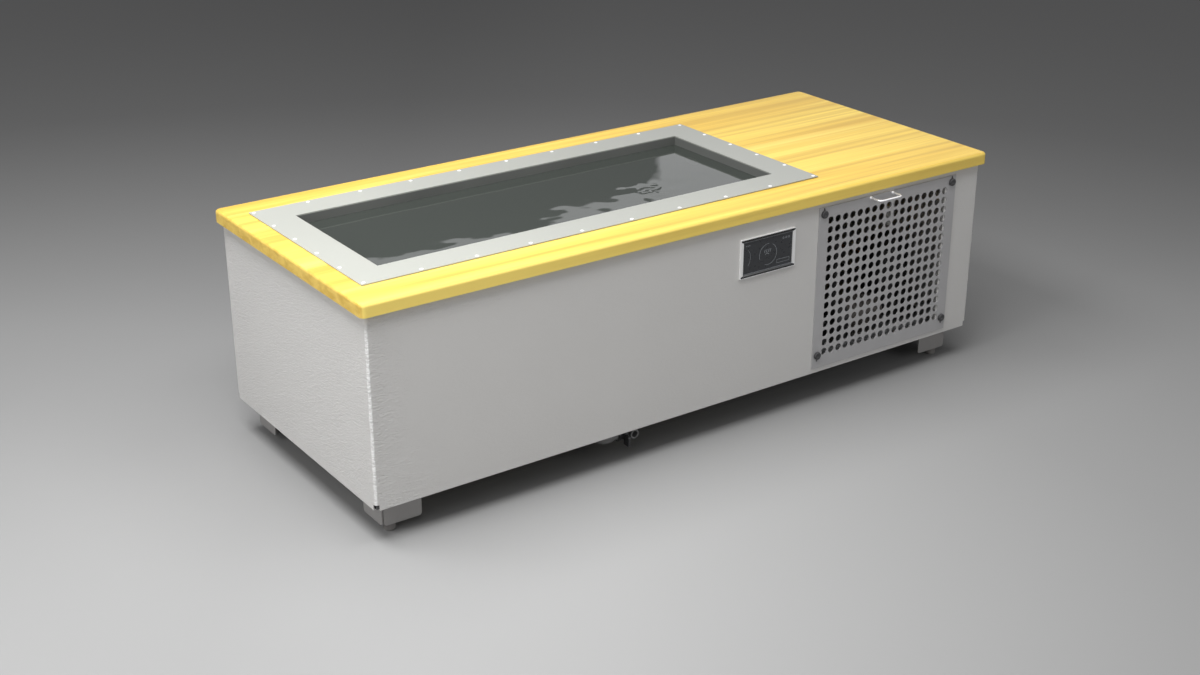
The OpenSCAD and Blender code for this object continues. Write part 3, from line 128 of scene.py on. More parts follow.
class Graph(Nodes):
    """The nodes of a material with one Principled shader."""

    SOCKETS = {"base": "Base Color", "rough": "Roughness", "metal": "Metallic", "ior": "IOR",
               "coat": "Coat Weight", "spec": "Specular IOR Level", "through": "Transmission Weight"}

    def __init__(self, name):
        self.mat = bpy.data.materials.new(name)
        self.mat.use_nodes = True
        super().__init__(self.mat.node_tree)
        out = self.node("ShaderNodeOutputMaterial")
        self.bsdf = self.node("ShaderNodeBsdfPrincipled")
        self.put(out.inputs[0], self.bsdf.outputs[0])
        self.coords = self.node("ShaderNodeTexCoord").outputs["Object"]

    def normals(self):
        """The X, Y and Z of the direction that the surface faces."""
        return self.apart(self.node("ShaderNodeTexCoord").outputs["Normal"])

    def mapped(self, scale):
        return self.node("ShaderNodeMapping", {"Vector": self.coords, "Scale": scale}).outputs[0]

    def noise(self, scale, detail, rough, distort=0.0, vector=None):
        """Noise of one scale, or of a scale for each axis."""
        if isinstance(scale, tuple):
            vector, scale = self.mapped(scale), 1.0
        return self.node("ShaderNodeTexNoise", {
            "Vector": vector or self.coords, "Scale": scale, "Detail": detail, "Roughness": rough,
            "Distortion": distort}).outputs[0]

    def bump(self, height, strength, distance):
        self.put(self.bsdf.inputs["Normal"], self.node("ShaderNodeBump", {
            "Height": height, "Strength": strength, "Distance": distance}).outputs[0])

    def set(self, **values):
        for key, value in values.items():
            socket = self.bsdf.inputs[self.SOCKETS[key]]
            self.put(socket, (*value, 1.0) if isinstance(value, tuple) else value)
        return self.mat


def plain(name, base, rough, metal=0.0, grain=120.0, vary=0.12, dent=0.05, depth=0.0004, **more):
    """A painted, moulded or cast finish: faint mottling in colour and gloss over a fine grain."""
    g = Graph(name)
    dark = tuple(c * (1 - vary) for c in base)
    light = tuple(min(1.0, c * (1 + vary)) for c in base)
    cloud = g.noise(7.0, 3.0, 0.6)
    fine = g.noise(grain, 5.0, 0.6)
    g.set(base=g.mix(g.ramp(cloud, ((0.3, 0.0), (0.7, 1.0))), dark, light),
          rough=g.fade(fine, 0.0, 1.0, max(0.02, rough - 0.06), min(1.0, rough + 0.08)), metal=metal, **more)
    g.bump(fine, dent, depth)
    return g.mat


ACROSS_STREAKS, ALONG_STREAKS = 420.0, 5.0


def brushed(name, base, rough, metal, streak=0.18):
    """Drawn or brushed metal: long fine upright streaks."""
    g = Graph(name)
    lines = g.noise((ACROSS_STREAKS, ACROSS_STREAKS, ALONG_STREAKS), 6.0, 0.7)
    cloud = g.noise(3.0, 2.0, 0.5)
    dark = tuple(c * (1 - streak) for c in base)
    both = g.math("ADD", g.math("MULTIPLY", lines, 0.7), g.math("MULTIPLY", cloud, 0.3))
    g.set(base=g.mix(both, dark, base), rough=g.fade(lines, 0.0, 1.0, rough - 0.08, rough + 0.1), metal=metal)
    g.bump(lines, 0.06, 0.0002)
    return g.mat


def wood():
    """Pale oiled boards with the grain along the tub and end grain on the two short edges; the long edges carry
    painted light, strongest at the left.
    """
    board_dark, board_pale = (0.79, 0.52, 0.09), (0.93, 0.68, 0.14)
    band_dark, band_pale, line_dark = (0.60, 0.36, 0.06), (0.98, 0.79, 0.22), (0.52, 0.30, 0.05)
    end_dark, end_pale, pore_dark = (0.68, 0.45, 0.085), (0.86, 0.62, 0.15), (0.42, 0.23, 0.05)
    # Painted light: the long edges are painted lighter than the boards, most of all left of the first of these
    # two places, where the light falls strongest
    painted_light_edge, painted_light_from, painted_light_to = (1.0, 0.77, 0.195), -0.75, -0.1
    g = Graph("deck_wood")
    broad = g.noise((0.42, 7.0, 7.0), 2.0, 0.5, 0.3)
    bands = g.noise((0.8, 30.0, 30.0), 3.0, 0.5, 0.25)
    lines = g.noise((1.6, 120.0, 120.0), 4.0, 0.55, 0.15)
    colour = g.mix(g.ramp(broad, ((0.34, 0.0), (0.66, 1.0))), board_dark, board_pale)
    for pattern, stops, strength, tint in (
            (bands, ((0.36, 1.0), (0.52, 0.0)), 0.6, band_dark),
            (bands, ((0.56, 0.0), (0.72, 1.0)), 0.6, band_pale),
            (lines, ((0.36, 1.0), (0.5, 0.0)), 0.22, line_dark)):
        colour = g.mix(g.math("MULTIPLY", g.ramp(pattern, stops), strength), colour, tint)
    blocks = g.noise((16.0, 26.0, 46.0), 3.0, 0.6, 0.6)
    pores = g.noise((300.0, 300.0, 300.0), 3.0, 0.6)
    ends = g.mix(g.ramp(blocks, ((0.35, 0.0), (0.62, 1.0))), end_dark, end_pale)
    ends = g.mix(g.math("MULTIPLY", pores, 0.3), ends, pore_dark)
    facing = g.normals()
    short_edge = g.ramp(g.math("ABSOLUTE", facing[0]), ((0.6, 0.0), (0.8, 1.0)))
    long_edge = g.ramp(g.math("ABSOLUTE", facing[1]), ((0.5, 0.0), (0.8, 1.0)))
    # Painted light on the long edges, fading to half its strength from left to right
    lighter = g.fade(g.apart(g.coords)[0], painted_light_from, painted_light_to, 1.0, 0.5)
    colour = g.mix(g.math("MULTIPLY", long_edge, lighter), colour, painted_light_edge)
    g.set(base=g.mix(short_edge, colour, ends), rough=g.fade(lines, 0.0, 1.0, 0.4, 0.54), spec=0.22)
    g.bump(g.math("ADD", lines, g.math("MULTIPLY", bands, 0.6)), 0.05, 0.0003)
    return g.mat


def hammered(name, base):
    """The skirt's textured coat: long shallow wrinkles, like leather, over a fine orange peel.

    The wrinkles are deep on the left end and fade out along the front, but for its lower left and upper edge.
    A painted highlight lightens their crests on the vertical bends at the left corners.
    """
    g = Graph(name)
    warp = g.noise((26.0, 26.0, 60.0), 2.0, 0.5)
    spread = g.node("ShaderNodeVectorMath", {
        0: g.node("ShaderNodeCombineXYZ", {"X": warp, "Y": warp, "Z": warp}).outputs[0], "Scale": 2.6},
        operation="SCALE").outputs[0]
    bent = g.node("ShaderNodeVectorMath", {0: g.mapped((85.0, 85.0, 250.0)), 1: spread},
                  operation="ADD").outputs[0]
    wrinkles = g.noise(1.0, 3.0, 0.55, 0.4, vector=bent)
    peel = g.noise(900.0, 2.0, 0.5)
    cloud = g.noise(2.5, 3.0, 0.5)
    dark = tuple(c * 0.95 for c in base)

    # Where the wrinkles fade, in metres: from the left end, low along the front, and high along it
    end_x, past_end_x = -1.046, -0.93
    front_x, low_x, high_x = -1.04, -0.74, -0.3
    low_deep_z, low_flat_z, high_flat_z, high_deep_z = 0.12, 0.36, 0.53, 0.61
    # Where the painted highlight on the bends fades out below the deck
    highlight_full_z, highlight_gone_z = 0.585, 0.62
    painted_highlight = (0.98, 0.98, 0.97)
    along, _, height = g.apart(g.coords)
    facing = g.normals()
    left = g.fade(along, end_x, past_end_x, 1.0, 0.14)
    low = g.math("MULTIPLY", g.fade(along, front_x, low_x, 0.95, 0.0),
                 g.fade(height, low_deep_z, low_flat_z, 1.0, 0.0))
    high = g.math("MULTIPLY", g.fade(along, front_x, high_x, 0.7, 0.0),
                  g.fade(height, high_flat_z, high_deep_z))
    # Painted highlight: the vertical bends at the left end, lighter on the wrinkles' crests
    highlight_mask = g.ramp(g.math("ABSOLUTE", g.math("MULTIPLY", facing[0], facing[1])), ((0.26, 0.0), (0.44, 1.0)))
    highlight_mask = g.math("MULTIPLY", highlight_mask, g.math("MULTIPLY", left,
                                           g.fade(height, highlight_full_z, highlight_gone_z, 1.0, 0.0)))
    crests = g.ramp(wrinkles, ((0.40, 0.12), (0.54, 1.0)))
    g.set(base=g.mix(g.math("MULTIPLY", highlight_mask, crests), g.mix(cloud, dark, base), painted_highlight),
          rough=g.fade(peel, 0.0, 1.0, 0.42, 0.58), spec=0.45)
    relief = g.math("MAXIMUM", left, g.math("MAXIMUM", low, high))
    g.bump(g.math("ADD", wrinkles, g.math("MULTIPLY", peel, 0.05)), relief, 0.0042)
    return g.mat


def basin_steel():
    """Stainless sheet: a bright brushed rim with painted shade toward its far end, and walls below it painted
    dark as shade.
    """
    rim_dark, rim_light = (0.40, 0.408, 0.374), (0.485, 0.494, 0.455)
    # The walls below the rim are painted dark as shade
    shaded_wall_dark, shaded_wall_light = (0.10, 0.105, 0.10), (0.17, 0.175, 0.165)
    # Painted shade: the rim is unshaded up to the first of these places, in metres, and darkest from the second
    # on
    shade_start_x, shade_end_x, shade_black = -0.7, 0.47, (0.0, 0.0, 0.0)
    border = 0.8 * MM
    g = Graph("basin_steel")
    lines = g.noise((ALONG_STREAKS, ACROSS_STREAKS, ACROSS_STREAKS), 6.0, 0.7)
    cloud = g.noise(3.0, 2.0, 0.5)
    along, _, height = g.apart(g.coords)
    rim = g.mix(g.math("ADD", g.math("MULTIPLY", lines, 0.5), g.math("MULTIPLY", cloud, 0.3)),
                rim_dark, rim_light)
    # Painted shade: the rim darkens toward its far end
    rim = g.mix(g.fade(along, shade_start_x, shade_end_x, 0.0, 0.24), rim, shade_black)
    shaded_wall = g.mix(cloud, shaded_wall_dark, shaded_wall_light)
    above = g.fade(height, TOP - border, TOP + border)
    g.set(base=g.mix(above, shaded_wall, rim), rough=g.fade(lines, 0.0, 1.0, 0.34, 0.48), metal=0.1, spec=0.3)
    g.bump(lines, 0.05, 0.0002)
    return g.mat


MATERIALS = {
    "deck_wood": wood(),
    "basin_steel": basin_steel(),
    "gasket_rubber": plain("gasket_rubber", (0.03, 0.03, 0.03), 0.7),
    "screw_steel": plain("screw_steel", (0.92, 0.92, 0.92), 0.3, 0.25, vary=0.03),
    "foam": plain("foam", (0.72, 0.66, 0.48), 0.95, grain=260.0, vary=0.1, dent=0.6, depth=0.002),
    "skirt_paint": hammered("skirt_paint", (0.67, 0.66, 0.643)),
    "frame_paint": plain("frame_paint", (0.10, 0.10, 0.10), 0.5),
    "bracket_steel": plain("bracket_steel", (0.32, 0.31, 0.302), 0.5, 0.2, vary=0.06),
    "foot_plastic": plain("foot_plastic", (0.22, 0.21, 0.20), 0.55),
    "strainer_steel": plain("strainer_steel", (0.8, 0.8, 0.8), 0.15, 1.0, vary=0.03),
    "pvc_grey": plain("pvc_grey", (0.17, 0.17, 0.168), 0.4),
    "valve_plastic": plain("valve_plastic", (0.018, 0.018, 0.019), 0.42),
    "panel_paint": plain("panel_paint", (0.47, 0.465, 0.47), 0.4, 0.25, grain=700.0, vary=0.03, dent=0.04),
    "handle_chrome": plain("handle_chrome", (0.9, 0.9, 0.91), 0.16, 0.6, vary=0.02, dent=0.0),
    "knob_plastic": plain("knob_plastic", (0.045, 0.045, 0.047), 0.4),
    "receptacle_steel": plain("receptacle_steel", (0.6, 0.6, 0.6), 0.35, 0.9),
    "display_silver": brushed("display_silver", (0.95, 0.95, 0.95), 0.35, 0.2, 0.06),
    "display_black": plain("display_black", (0.012, 0.013, 0.015), 0.12, vary=0.05, dent=0.0, coat=0.4),
    "display_screen": plain("display_screen", (0.034, 0.036, 0.04), 0.28, vary=0.04, dent=0.0),
    "housing_plastic": plain("housing_plastic", (0.03, 0.03, 0.03), 0.6),
    "galvanised": plain("galvanised", (0.5, 0.51, 0.51), 0.42, 0.85, grain=38.0, vary=0.16),
    "compressor_paint": plain("compressor_paint", (0.022, 0.022, 0.022), 0.32),
    "pump_plastic": plain("pump_plastic", (0.03, 0.03, 0.03), 0.45),
    "motor_paint": plain("motor_paint", (0.13, 0.12, 0.11), 0.45, 0.3),
    "filter_plastic": plain("filter_plastic", (0.03, 0.03, 0.032), 0.4),
    "bowl_plastic": plain("bowl_plastic", (0.03, 0.045, 0.06), 0.15, vary=0.06, dent=0.0, coat=0.3),
    "filter_paper": plain("filter_paper", (0.78, 0.78, 0.74), 0.9, dent=0.3),
    "fin_aluminium": brushed("fin_aluminium", (0.7, 0.71, 0.72), 0.4, 0.9),
    "fan_plastic": plain("fan_plastic", (0.02, 0.02, 0.02), 0.45),
    "exchanger_foam": plain("exchanger_foam", (0.025, 0.025, 0.025), 0.9, grain=200.0, dent=0.6, depth=0.002),
    "hose_rubber": plain("hose_rubber", (0.022, 0.022, 0.022), 0.6),
    "pipe_white": plain("pipe_white", (0.8, 0.8, 0.78), 0.35, vary=0.04),
    "copper": plain("copper", (0.72, 0.34, 0.2), 0.3, 1.0, vary=0.14),
    "box_plastic": plain("box_plastic", (0.62, 0.62, 0.6), 0.45, vary=0.04),
    "gland_plastic": plain("gland_plastic", (0.02, 0.02, 0.02), 0.4),
}
# Two finishes that no CAD node has
WATER = Graph("water").set(base=(0.056, 0.064, 0.057), rough=0.015, ior=1.33, through=0.2, spec=0.5)
PRINT = plain("display_print", (0.30, 0.32, 0.34), 0.4, vary=0.05, dent=0.0)

slot_of = {row["node"]: row["material_slot"] for row in frame["record"]["subparts"]}
for name, obj in NODES.items():
    obj.data.materials.clear()
    obj.data.materials.append(MATERIALS[slot_of[name]])


# Mesh helpers
def piece(name, verts, faces, slot, body="tub", smooth=40.0, material=None):
    mesh = bpy.data.meshes.new(name)
    mesh.from_pydata([tuple(v) for v in verts], [], faces)
    mesh.validate()
    obj = bpy.data.objects.new(name, mesh)
    bpy.context.scene.collection.objects.link(obj)
    mesh.materials.append(material or MATERIALS[slot])
    mesh.shade_smooth()
    mesh.set_sharp_from_angle(angle=math.radians(smooth))
    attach(obj, body)
    return obj


class Shape:
    """Collects the points and faces of one piece."""

    def __init__(self):
        self.verts, self.faces = [], []

    def add(self, verts, faces, place=None):
        start = len(self.verts)
        self.verts += [place @ Vector(v) if place else Vector(v) for v in verts]
        self.faces += [tuple(start + i for i in f) for f in faces]

    def loft(self, rings, place=None):
        """Rings of equally many points, joined in order, with flat ends."""
        count = len(rings[0])
        verts = [p for ring in rings for p in ring]
        faces = []
        for k in range(len(rings) - 1):
            for i in range(count):
                j = (i + 1) % count
                faces.append((k * count + i, k * count + j, (k + 1) * count + j, (k + 1) * count + i))
        last = (len(rings) - 1) * count
        faces.append(tuple(reversed(range(count))))
        faces.append(tuple(last + i for i in range(count)))
        self.add(verts, faces, place)


def turn(count):
    return [2 * math.pi * i / count for i in range(count)]


def ring(radius, height, count):
    return [(radius * math.cos(a), radius * math.sin(a), height) for a in turn(count)]


def wave(x, y, scale_x, scale_y, start):
    """Smooth noise over the water: its scales along and across the tub, and where in the noise it starts."""
    return noise.noise(Vector((x * scale_x + start[0], y * scale_y + start[1], start[2])))


def water_surface():
    """The water: a closed block whose top has slow swells, and a splash where the return jet comes up."""
    level, nx, ny = TOP - WATER_DROP, 300, 110
    # Heights of the waves in metres: all over, then round the jet. These spread over so many square metres.
    swell_high, chop_high, fine_high = 0.00045, 0.0001, 0.00001
    jet_chop_high, splash_high = 0.0006, 0.0008
    jet_chop_spread, splash_spread = 0.007, 0.0011
    x0, x1 = BASIN_X0 + WATER_GAP, BASIN_X1 - WATER_GAP
    y0, y1 = BASIN_Y0 + WATER_GAP, BASIN_Y1 - WATER_GAP
    verts, faces = [], []
    for j in range(ny + 1):
        for i in range(nx + 1):
            x, y = x0 + (x1 - x0) * i / nx, y0 + (y1 - y0) * j / ny
            swell = wave(x, y, 4.1, 5.3, (1.7, 0.4, 2.0))
            chop = wave(x, y, 15, 19, (3.0, 0.0, 1.3))
            fine = wave(x, y, 34, 44, (0.0, 5.0, 4.1))
            splash = wave(x, y, 60, 75, (2.0, 0.0, 7.7))
            reach = (x - JET_X) ** 2 + (y - JET_Y) ** 2
            near, core = math.exp(-reach / jet_chop_spread), math.exp(-reach / splash_spread)
            verts.append((x, y, level + swell_high * swell + chop_high * chop + fine_high * fine
                          + near * jet_chop_high * chop + core * splash_high * splash))
    top = len(verts)
    row = nx + 1
    for j in range(ny):
        for i in range(nx):
            a = j * row + i
            faces.append((a, a + 1, a + 1 + row, a + row))
    rim = ([i for i in range(row)] + [j * row + nx for j in range(1, ny + 1)]
           + [ny * row + i for i in range(nx - 1, -1, -1)] + [j * row for j in range(ny - 1, 0, -1)])
    low = BASIN_FLOOR + WATER_GAP
    verts += [(verts[i][0], verts[i][1], low) for i in rim]
    for k in range(len(rim)):
        m = (k + 1) % len(rim)
        faces.append((rim[k], top + k, top + m, rim[m]))
    faces.append(tuple(top + k for k in reversed(range(len(rim)))))
    piece("water", verts, faces, None, material=WATER, smooth=60.0)


def hexagon(half):
    """The outline of a six-sided recess: the distance to its edge at each angle."""
    return lambda a: half / math.cos((a + math.pi / 6) % (math.pi / 3) - math.pi / 6)


def cross(arm, half):
    """The outline of a cross recess with arms of a given reach and half width."""
    def edge(a):
        off = abs((a + math.pi / 4) % (math.pi / 2) - math.pi / 4)
        return min(arm / math.cos(off), half / max(math.sin(off), 0.001))
    return edge


def screw_head(shape, place, head_r, head_h, recess, depth, shank_r, shank_l):
    """A domed screw head with a recess. Its seat is at the origin, the head up +Z."""
    count = 48
    ball = (head_r * head_r + head_h * head_h) / (2 * head_h)
    low = 0.28 * head_h

    def dome(r):
        return max(low, head_h - ball + math.sqrt(max(ball * ball - r * r, 0.0)))

    rings = [ring(shank_r, -shank_l, count), ring(shank_r, 0.0, count), ring(head_r, 0.0, count)]
    dome_shares = (1.0, 0.97, 0.9, 0.8, 0.68, 0.56)
    rings += [ring(head_r * share, dome(head_r * share), count) for share in dome_shares]
    edge = [recess(a) for a in turn(count)]
    for height in (None, head_h - depth):
        rings.append([(r * math.cos(a), r * math.sin(a), dome(r) if height is None else height)
                      for r, a in zip(edge, turn(count))])
    shape.loft(rings, place)


def rim_screws():
    """Socket screws all round the basin's rim."""
    shape = Shape()
    spots = [(i, far) for i in range(RIM_COLS) for far in (0, RIM_ROWS - 1)]
    spots += [(far, j) for j in range(1, RIM_ROWS - 1) for far in (0, RIM_COLS - 1)]
    for k, (i, j) in enumerate(spots):
        at = Matrix.Translation((RIM_SCREW_X0 + i * RIM_PITCH_X, RIM_SCREW_Y0 + j * RIM_PITCH_Y, RIM_TOP))
        screw_head(shape, at @ Matrix.Rotation(0.7 * k, 4, "Z"), head_r=5.5 * MM, head_h=2.4 * MM,
                   recess=hexagon(1.9 * MM), depth=1.7 * MM, shank_r=2.5 * MM, shank_l=22 * MM)
    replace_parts(piece("rim_socket_screws", shape.verts, shape.faces, "screw_steel", smooth=32.0), "rim_screws")


def back_screws():
    """Cross-head screws down both edges of the back panel."""
    shape = Shape()
    for k in range(BACK_SCREWS):
        row, side = k // 2, 2 * (k % 2) - 1
        at = Matrix.Translation((side * BACK_SCREW_X, BACK_FACE, BACK_SCREW_Z + row * BACK_PITCH_Z))
        face = at @ Matrix.Rotation(-math.pi / 2, 4, "X") @ Matrix.Rotation(0.5 * k, 4, "Z")
        screw_head(shape, face, head_r=4.5 * MM, head_h=1.8 * MM, recess=cross(2.4 * MM, 0.5 * MM),
                   depth=1.2 * MM, shank_r=2 * MM, shank_l=8 * MM)
    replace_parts(piece("back_cross_screws", shape.verts, shape.faces, "screw_steel", smooth=32.0),
                "back_panel_screws")


# Service panel knobs
KNOB_FLUTES = 16


def knob(name, x, z, flip):
    """A quarter-turn knob: a fluted rim, a dished face, a pointer lug at its edge, and the stud behind."""
    shape, count = Shape(), 8 * KNOB_FLUTES
    place = (Matrix.Translation((x, PANEL_FACE, z)) @ Matrix.Rotation(math.pi / 2, 4, "X")
             @ Matrix.Rotation(math.pi if flip else 0.0, 4, "Z"))

    def fluted(radius, height, cut):
        rings = []
        for a in turn(count):
            r = radius - cut * (0.5 - 0.5 * math.cos(KNOB_FLUTES * a)) ** 1.5
            rings.append((r * math.cos(a), r * math.sin(a), height))
        return rings

    # The head, as radius, height and depth of its flutes; then the stud, as radius and height; all in mm
    shape.loft([fluted(r * MM, h * MM, c * MM) for r, h, c in (
        (3.5, 0.0, 0.0), (11.5, 0.0, 0.2), (11.95, 0.4, 0.75), (11.95, 4.8, 0.75), (11.6, 5.9, 0.6),
        (10.9, 6.6, 0.25), (9.8, 6.95, 0.0), (8.6, 7.0, 0.0), (4.7, 7.0, 0.0), (4.1, 6.8, 0.0),
        (3.7, 6.3, 0.0), (3.2, 6.0, 0.0), (0.8, 6.0, 0.0))], place)
    shape.loft([ring(r * MM, h * MM, 32) for r, h in (
        (2.8, -13.5), (3.4, -12.8), (3.4, -10.2), (2.7, -9.6), (2.7, -7.4), (3.4, -6.8), (3.4, 0.2))], place)
    # The lug's outline, grown about its middle at each height
    lug_mid = 14.0
    outline = [(-1.75, 9.5), (1.75, 9.5), (1.5, 15.5), (1.2, 17.8), (0.65, 18.7), (0.0, 18.95),
               (-0.65, 18.7), (-1.2, 17.8), (-1.5, 15.5)]
    shape.loft([[(px * grow * MM, (py - lug_mid) * grow * MM + lug_mid * MM, h * MM) for px, py in outline]
                for h, grow in ((0.0, 0.97), (0.3, 1.0), (1.5, 1.0), (1.9, 0.92), (2.0, 0.8))], place)
    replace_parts(piece(f"{name}_fluted", shape.verts, shape.faces, "knob_plastic", body=f"{name}_body"), name)


# Display print
def display_print():
    """Plain strokes on the display's glass, in mm from its middle: a dial, ticks, dots and a frame."""
    shape = Shape()
    raised, line_z, line_x = 0.12, 47.2, 90

    def stroke(points, width):
        rings = []
        for k, (px, pz) in enumerate(points):
            ax, az = points[max(k - 1, 0)]
            bx, bz = points[min(k + 1, len(points) - 1)]
            run = math.hypot(bx - ax, bz - az)
            sx, sz = -(bz - az) / run * width / 2, (bx - ax) / run * width / 2
            rings.append([(GLASS_MID_X + (px + u * sx) * MM, GLASS_FACE - h * MM,
                           GLASS_MID_Z + (pz + u * sz) * MM)
                          for u, h in ((-1, 0.0), (1, 0.0), (1, raised), (-1, raised))])
        shape.loft(rings)

    def arc(cx, cz, r, start, end, width, steps=36):
        angles = [math.radians(start + (end - start) * k / steps) for k in range(steps + 1)]
        stroke([(cx + r * math.cos(a), cz + r * math.sin(a)) for a in angles], width)

    def frame_of(cx, cz, w, h, width):
        for sx, sz, ex, ez in ((-1, -1, 1, -1), (1, -1, 1, 1), (1, 1, -1, 1), (-1, 1, -1, -1)):
            stroke([(cx + sx * w / 2, cz + sz * h / 2), (cx + ex * w / 2, cz + ez * h / 2)], width)

    arc(2, -3, 31.5, 85, 200, 1.1)
    arc(2, -3, 31.5, 60, -110, 1.1)
    for k in range(4):
        stroke([(-12 + 7 * k, 3), (-9 + 7 * k, 12)], 1.6)
    stroke([(-9, -3), (-1, 1), (5, -3)], 1.6)
    arc(-96, 0, 34, -42, 42, 0.8, 20)
    for dx in (-80, -74, -68):
        stroke([(dx, 36), (dx + 3.4, 36)], 1.6)
    for dx in (57, 67, 77):
        arc(dx, 34, 2.4, 0, 350, 1.1, 16)
    frame_of(58, -32, 46, 10, 0.9)
    for dz in (-line_z, line_z):
        stroke([(-line_x, dz), (line_x, dz)], 1.5)
    piece("display_print", shape.verts, shape.faces, "display_silver", material=PRINT)


# Levelling feet
def levelling_foot(name, x, y):
    """A moulded pad with gripping ribs, and its threaded stem up through the bracket."""
    at = Matrix.Translation((x, y, 0.0))
    pad, count, ribs, rib_depth = Shape(), 96, 24, 0.7
    # Radius and height in mm, and whether the ribs run through there
    profile = (
        (5.0, 0.0, 0), (13.0, 0.0, 0), (14.6, 0.5, 0), (16.0, 1.8, 0), (16.5, 3.8, 0), (16.5, 6.5, 0),
        (16.5, 7.0, 1), (16.5, 23.0, 1), (16.3, 23.6, 0), (16.0, 24.6, 0), (15.2, 25.0, 0), (12.4, 25.3, 0),
        (12.0, 25.8, 0), (12.0, 29.2, 0), (11.4, 29.9, 0), (5.2, 29.9, 0))
    rings = []
    for edge, height, ribbed in profile:
        points = []
        for a in turn(count):
            r = edge - ribbed * rib_depth * (0.5 - 0.5 * math.cos(ribs * a))
            points.append((r * math.cos(a) * MM, r * math.sin(a) * MM, height * MM))
        rings.append(points)
    pad.loft(rings, at)
    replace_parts(piece(f"{name}_pad", pad.verts, pad.faces, "foot_plastic", body=f"{name}_body"), name)

    # The stem, in mm: its two ends, core radius, thread height, the length of its tapered tip, and the pitch
    low, high, core_r, thread, tip, pitch = 28.5, 118.8, 5.15, 0.8, 1.5, 1.75
    stem, sides, rings_a_turn = Shape(), 24, 4
    steps = int((high - low) / pitch * rings_a_turn)
    rings = []
    for k in range(steps + 1):
        h = low + (high - low) * k / steps
        points = []
        for i, a in enumerate(turn(sides)):
            phase = (h / pitch - i / sides) % 1.0
            r = core_r + thread * (1 - abs(2 * phase - 1))
            if h > high - tip:
                r = min(r, core_r + thread - (h - high + tip) * 0.8)
            points.append((r * math.cos(a) * MM, r * math.sin(a) * MM, h * MM))
        rings.append(points)
    stem.loft(rings, at)
    piece(f"{name}_stem", stem.verts, stem.faces, "screw_steel", body=f"{name}_body", smooth=50.0)


water_surface()
rim_screws()
back_screws()
for side, knob_x in KNOB_X.items():
    for level, knob_z in KNOB_Z.items():
        knob(f"knob_{level}_{side}", knob_x, knob_z, level == "bottom")
display_print()
for end, foot_y in FOOT_Y.items():
    for side, foot_x in FOOT_X.items():
        levelling_foot(f"foot_{end}_{side}", foot_x, foot_y)


# Stage, light and camera
def studio_floor():
    """A wide sheet with painted light and shade: its tone drifts away from a near spot, into the depth, and from
    left to right.
    """
    half, level = 40.0, -0.3 * MM
    mesh = bpy.data.meshes.new("studio_floor")
    corners = ((-half, -half), (half, -half), (half, half), (-half, half))
    mesh.from_pydata([(x, y, level) for x, y in corners], [], [(0, 1, 2, 3)])
    floor_obj = bpy.data.objects.new("studio_floor", mesh)
    bpy.context.scene.collection.objects.link(floor_obj)
    g = Graph("studio_floor")
    # The near spot, then the ways into the depth and to the right; each with a range in metres and its tones,
    # which paint light and shade into the floor
    near_spot, inward, rightward = (-1.3, -1.0, 0.0), (0.574, 0.818, 0.0), (0.818, -0.574, 0.0)
    tone = None
    for measure, vector, low, high, stops in (
            ("DISTANCE", near_spot, 0.0, 8.0,
             ((0.0, 0.43), (0.12, 0.4), (0.26, 0.36), (0.36, 0.37), (0.62, 0.43), (1.0, 0.71))),
            ("DOT_PRODUCT", inward, 0.5, 5.5, ((0.0, 1.0), (0.22, 0.89), (0.5, 0.79), (1.0, 0.76))),
            ("DOT_PRODUCT", rightward, -4.5, 3.5, ((0.0, 1.0), (0.44, 0.85), (0.56, 0.95), (1.0, 0.96)))):
        place = g.node("ShaderNodeVectorMath", {0: g.coords, 1: vector}, operation=measure).outputs["Value"]
        painted_falloff = g.ramp(g.fade(place, low, high), stops)
        tone = painted_falloff if tone is None else g.mix(1.0, tone, painted_falloff, "MULTIPLY")
    mesh.materials.append(g.set(base=tone, rough=0.6, spec=0.0))


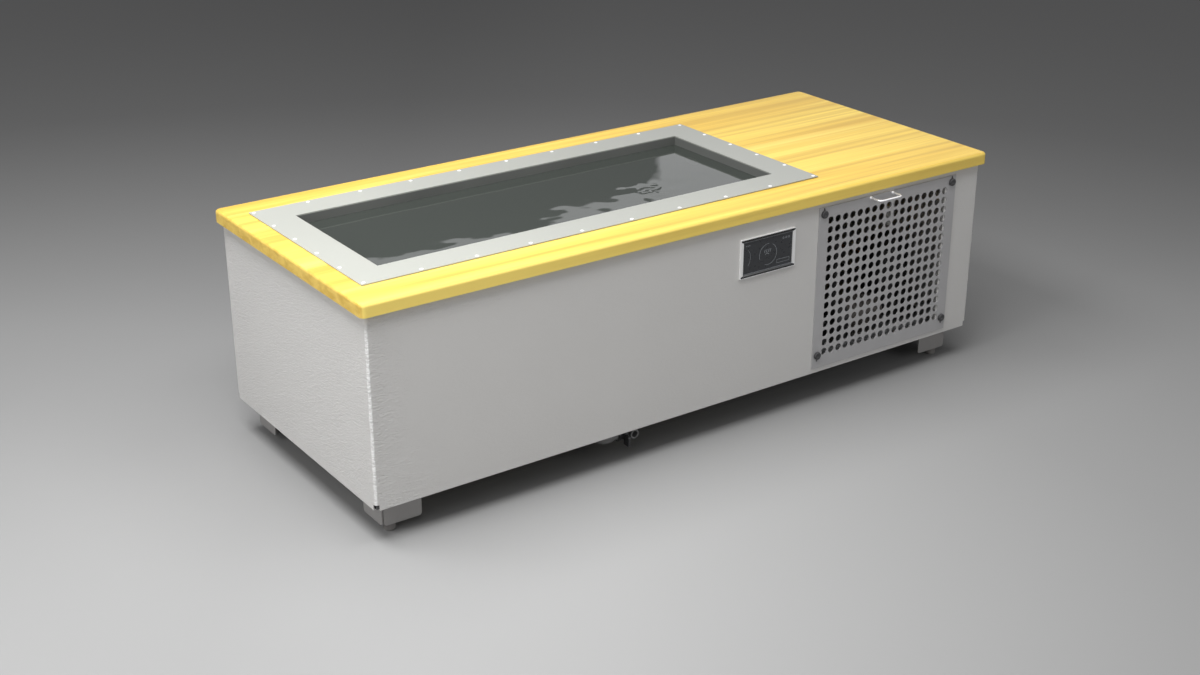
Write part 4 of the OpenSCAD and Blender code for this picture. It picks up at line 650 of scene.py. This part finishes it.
def studio_world():
    """One soft grey. Mirrored rays alone see a lighter panel, high up behind and to the right."""
    world = bpy.data.worlds.new("studio")
    world.use_nodes = True
    bpy.context.scene.world = world
    g = Nodes(world.node_tree)
    # The panel's soft lower and left edges, as slopes up and to the side
    panel_low, panel_left = (0.4225, 0.4245), (0.752, 0.758)
    # The world's strength, what mirrored rays and the panel add to it, and what the camera's own rays lose
    plain_light, mirrored_light, panel_light, camera_loss = 0.10, 0.09, 1.05, 0.4
    tint = (0.98, 0.98, 1.0, 1.0)
    toward = g.apart(g.node("ShaderNodeTexCoord").outputs["Generated"])
    rays = g.node("ShaderNodeLightPath").outputs
    back = g.math("MAXIMUM", toward[1], 0.05)
    above = g.fade(g.math("DIVIDE", toward[2], back), *panel_low)
    beside = g.fade(g.math("DIVIDE", toward[0], back), *panel_left)
    panel = g.math("MULTIPLY", g.math("MAXIMUM", above, beside), rays["Is Glossy Ray"])
    soft = g.math("MULTIPLY_ADD", rays["Is Glossy Ray"], mirrored_light, plain_light)
    light = g.math("MULTIPLY_ADD", panel, panel_light, soft)
    shown = g.math("MULTIPLY_ADD", rays["Is Camera Ray"], -camera_loss, 1.0)
    sky = g.node("ShaderNodeBackground", {"Color": tint, "Strength": g.math("MULTIPLY", light, shown)})
    g.put(g.node("ShaderNodeOutputWorld").inputs[0], sky.outputs[0])


def lamp(name, place, aim, size, power, size_y=None):
    """A soft area lamp: its place, what it points at and its sides, all in metres, and its power in watts."""
    data = bpy.data.lights.new(name, "AREA")
    data.energy, data.size = power, size
    if size_y:
        data.shape, data.size_y = "RECTANGLE", size_y
    obj = bpy.data.objects.new(name, data)
    bpy.context.scene.collection.objects.link(obj)
    obj.location = place
    obj.rotation_euler = (Vector(aim) - Vector(place)).to_track_quat("-Z", "Y").to_euler()


studio_floor()
studio_world()
# Lamps that hang at one height and shine straight down: X, Y, a side, the power and the other side
HANGING = 3.3
for name, x, y, size, power, size_y in (
        ("overhead_left", -1.9, -0.03, 1.2, 92.0, 2.3),
        ("overhead_back", -0.7, 0.8, 1.2, 16.0, None),
        ("overhead_right", 0.5, -0.4, 1.2, 17.0, None),
        ("above_front_left", -1.3, -1.5, 1.6, 29.0, 0.9),
        ("above_front_right", 0.4, -1.5, 1.6, 21.0, 0.9)):
    lamp(name, (x, y, HANGING), (x, y, 0.0), size, power, size_y)
lamp("key", (-3.2, -0.6, 1.8), (-0.9, 0.0, 0.4), 1.6, 28.0)
lamp("front_left", (-2.4, -2.8, 2.8), (-0.8, -0.3, 0.5), 1.6, 12.0)
lamp("front_right", (1.6, -3.6, 1.6), (0.6, 0.0, 0.3), 2.0, 12.0, 1.2)

camera = bpy.data.cameras.new("camera")
camera_obj = bpy.data.objects.new("camera", camera)
bpy.context.scene.collection.objects.link(camera_obj)
bpy.context.scene.camera = camera_obj
camera.sensor_width = SENSOR
camera.lens = SENSOR * FOCAL_PX / FRAME_PX
camera.clip_end = 100.0
# Where the camera stands and its turns in degrees, as fitted to the corners of the deck and the skirt
place, turns = (-2.765386, -3.829049, 2.220478), (66.632259, 0.055484, -35.072864)
turned = Euler([math.radians(a) for a in turns]).to_matrix().to_4x4()
camera_obj.matrix_world = Matrix.Translation(place) @ turned

bpy.context.scene.view_settings.view_transform = "Standard"
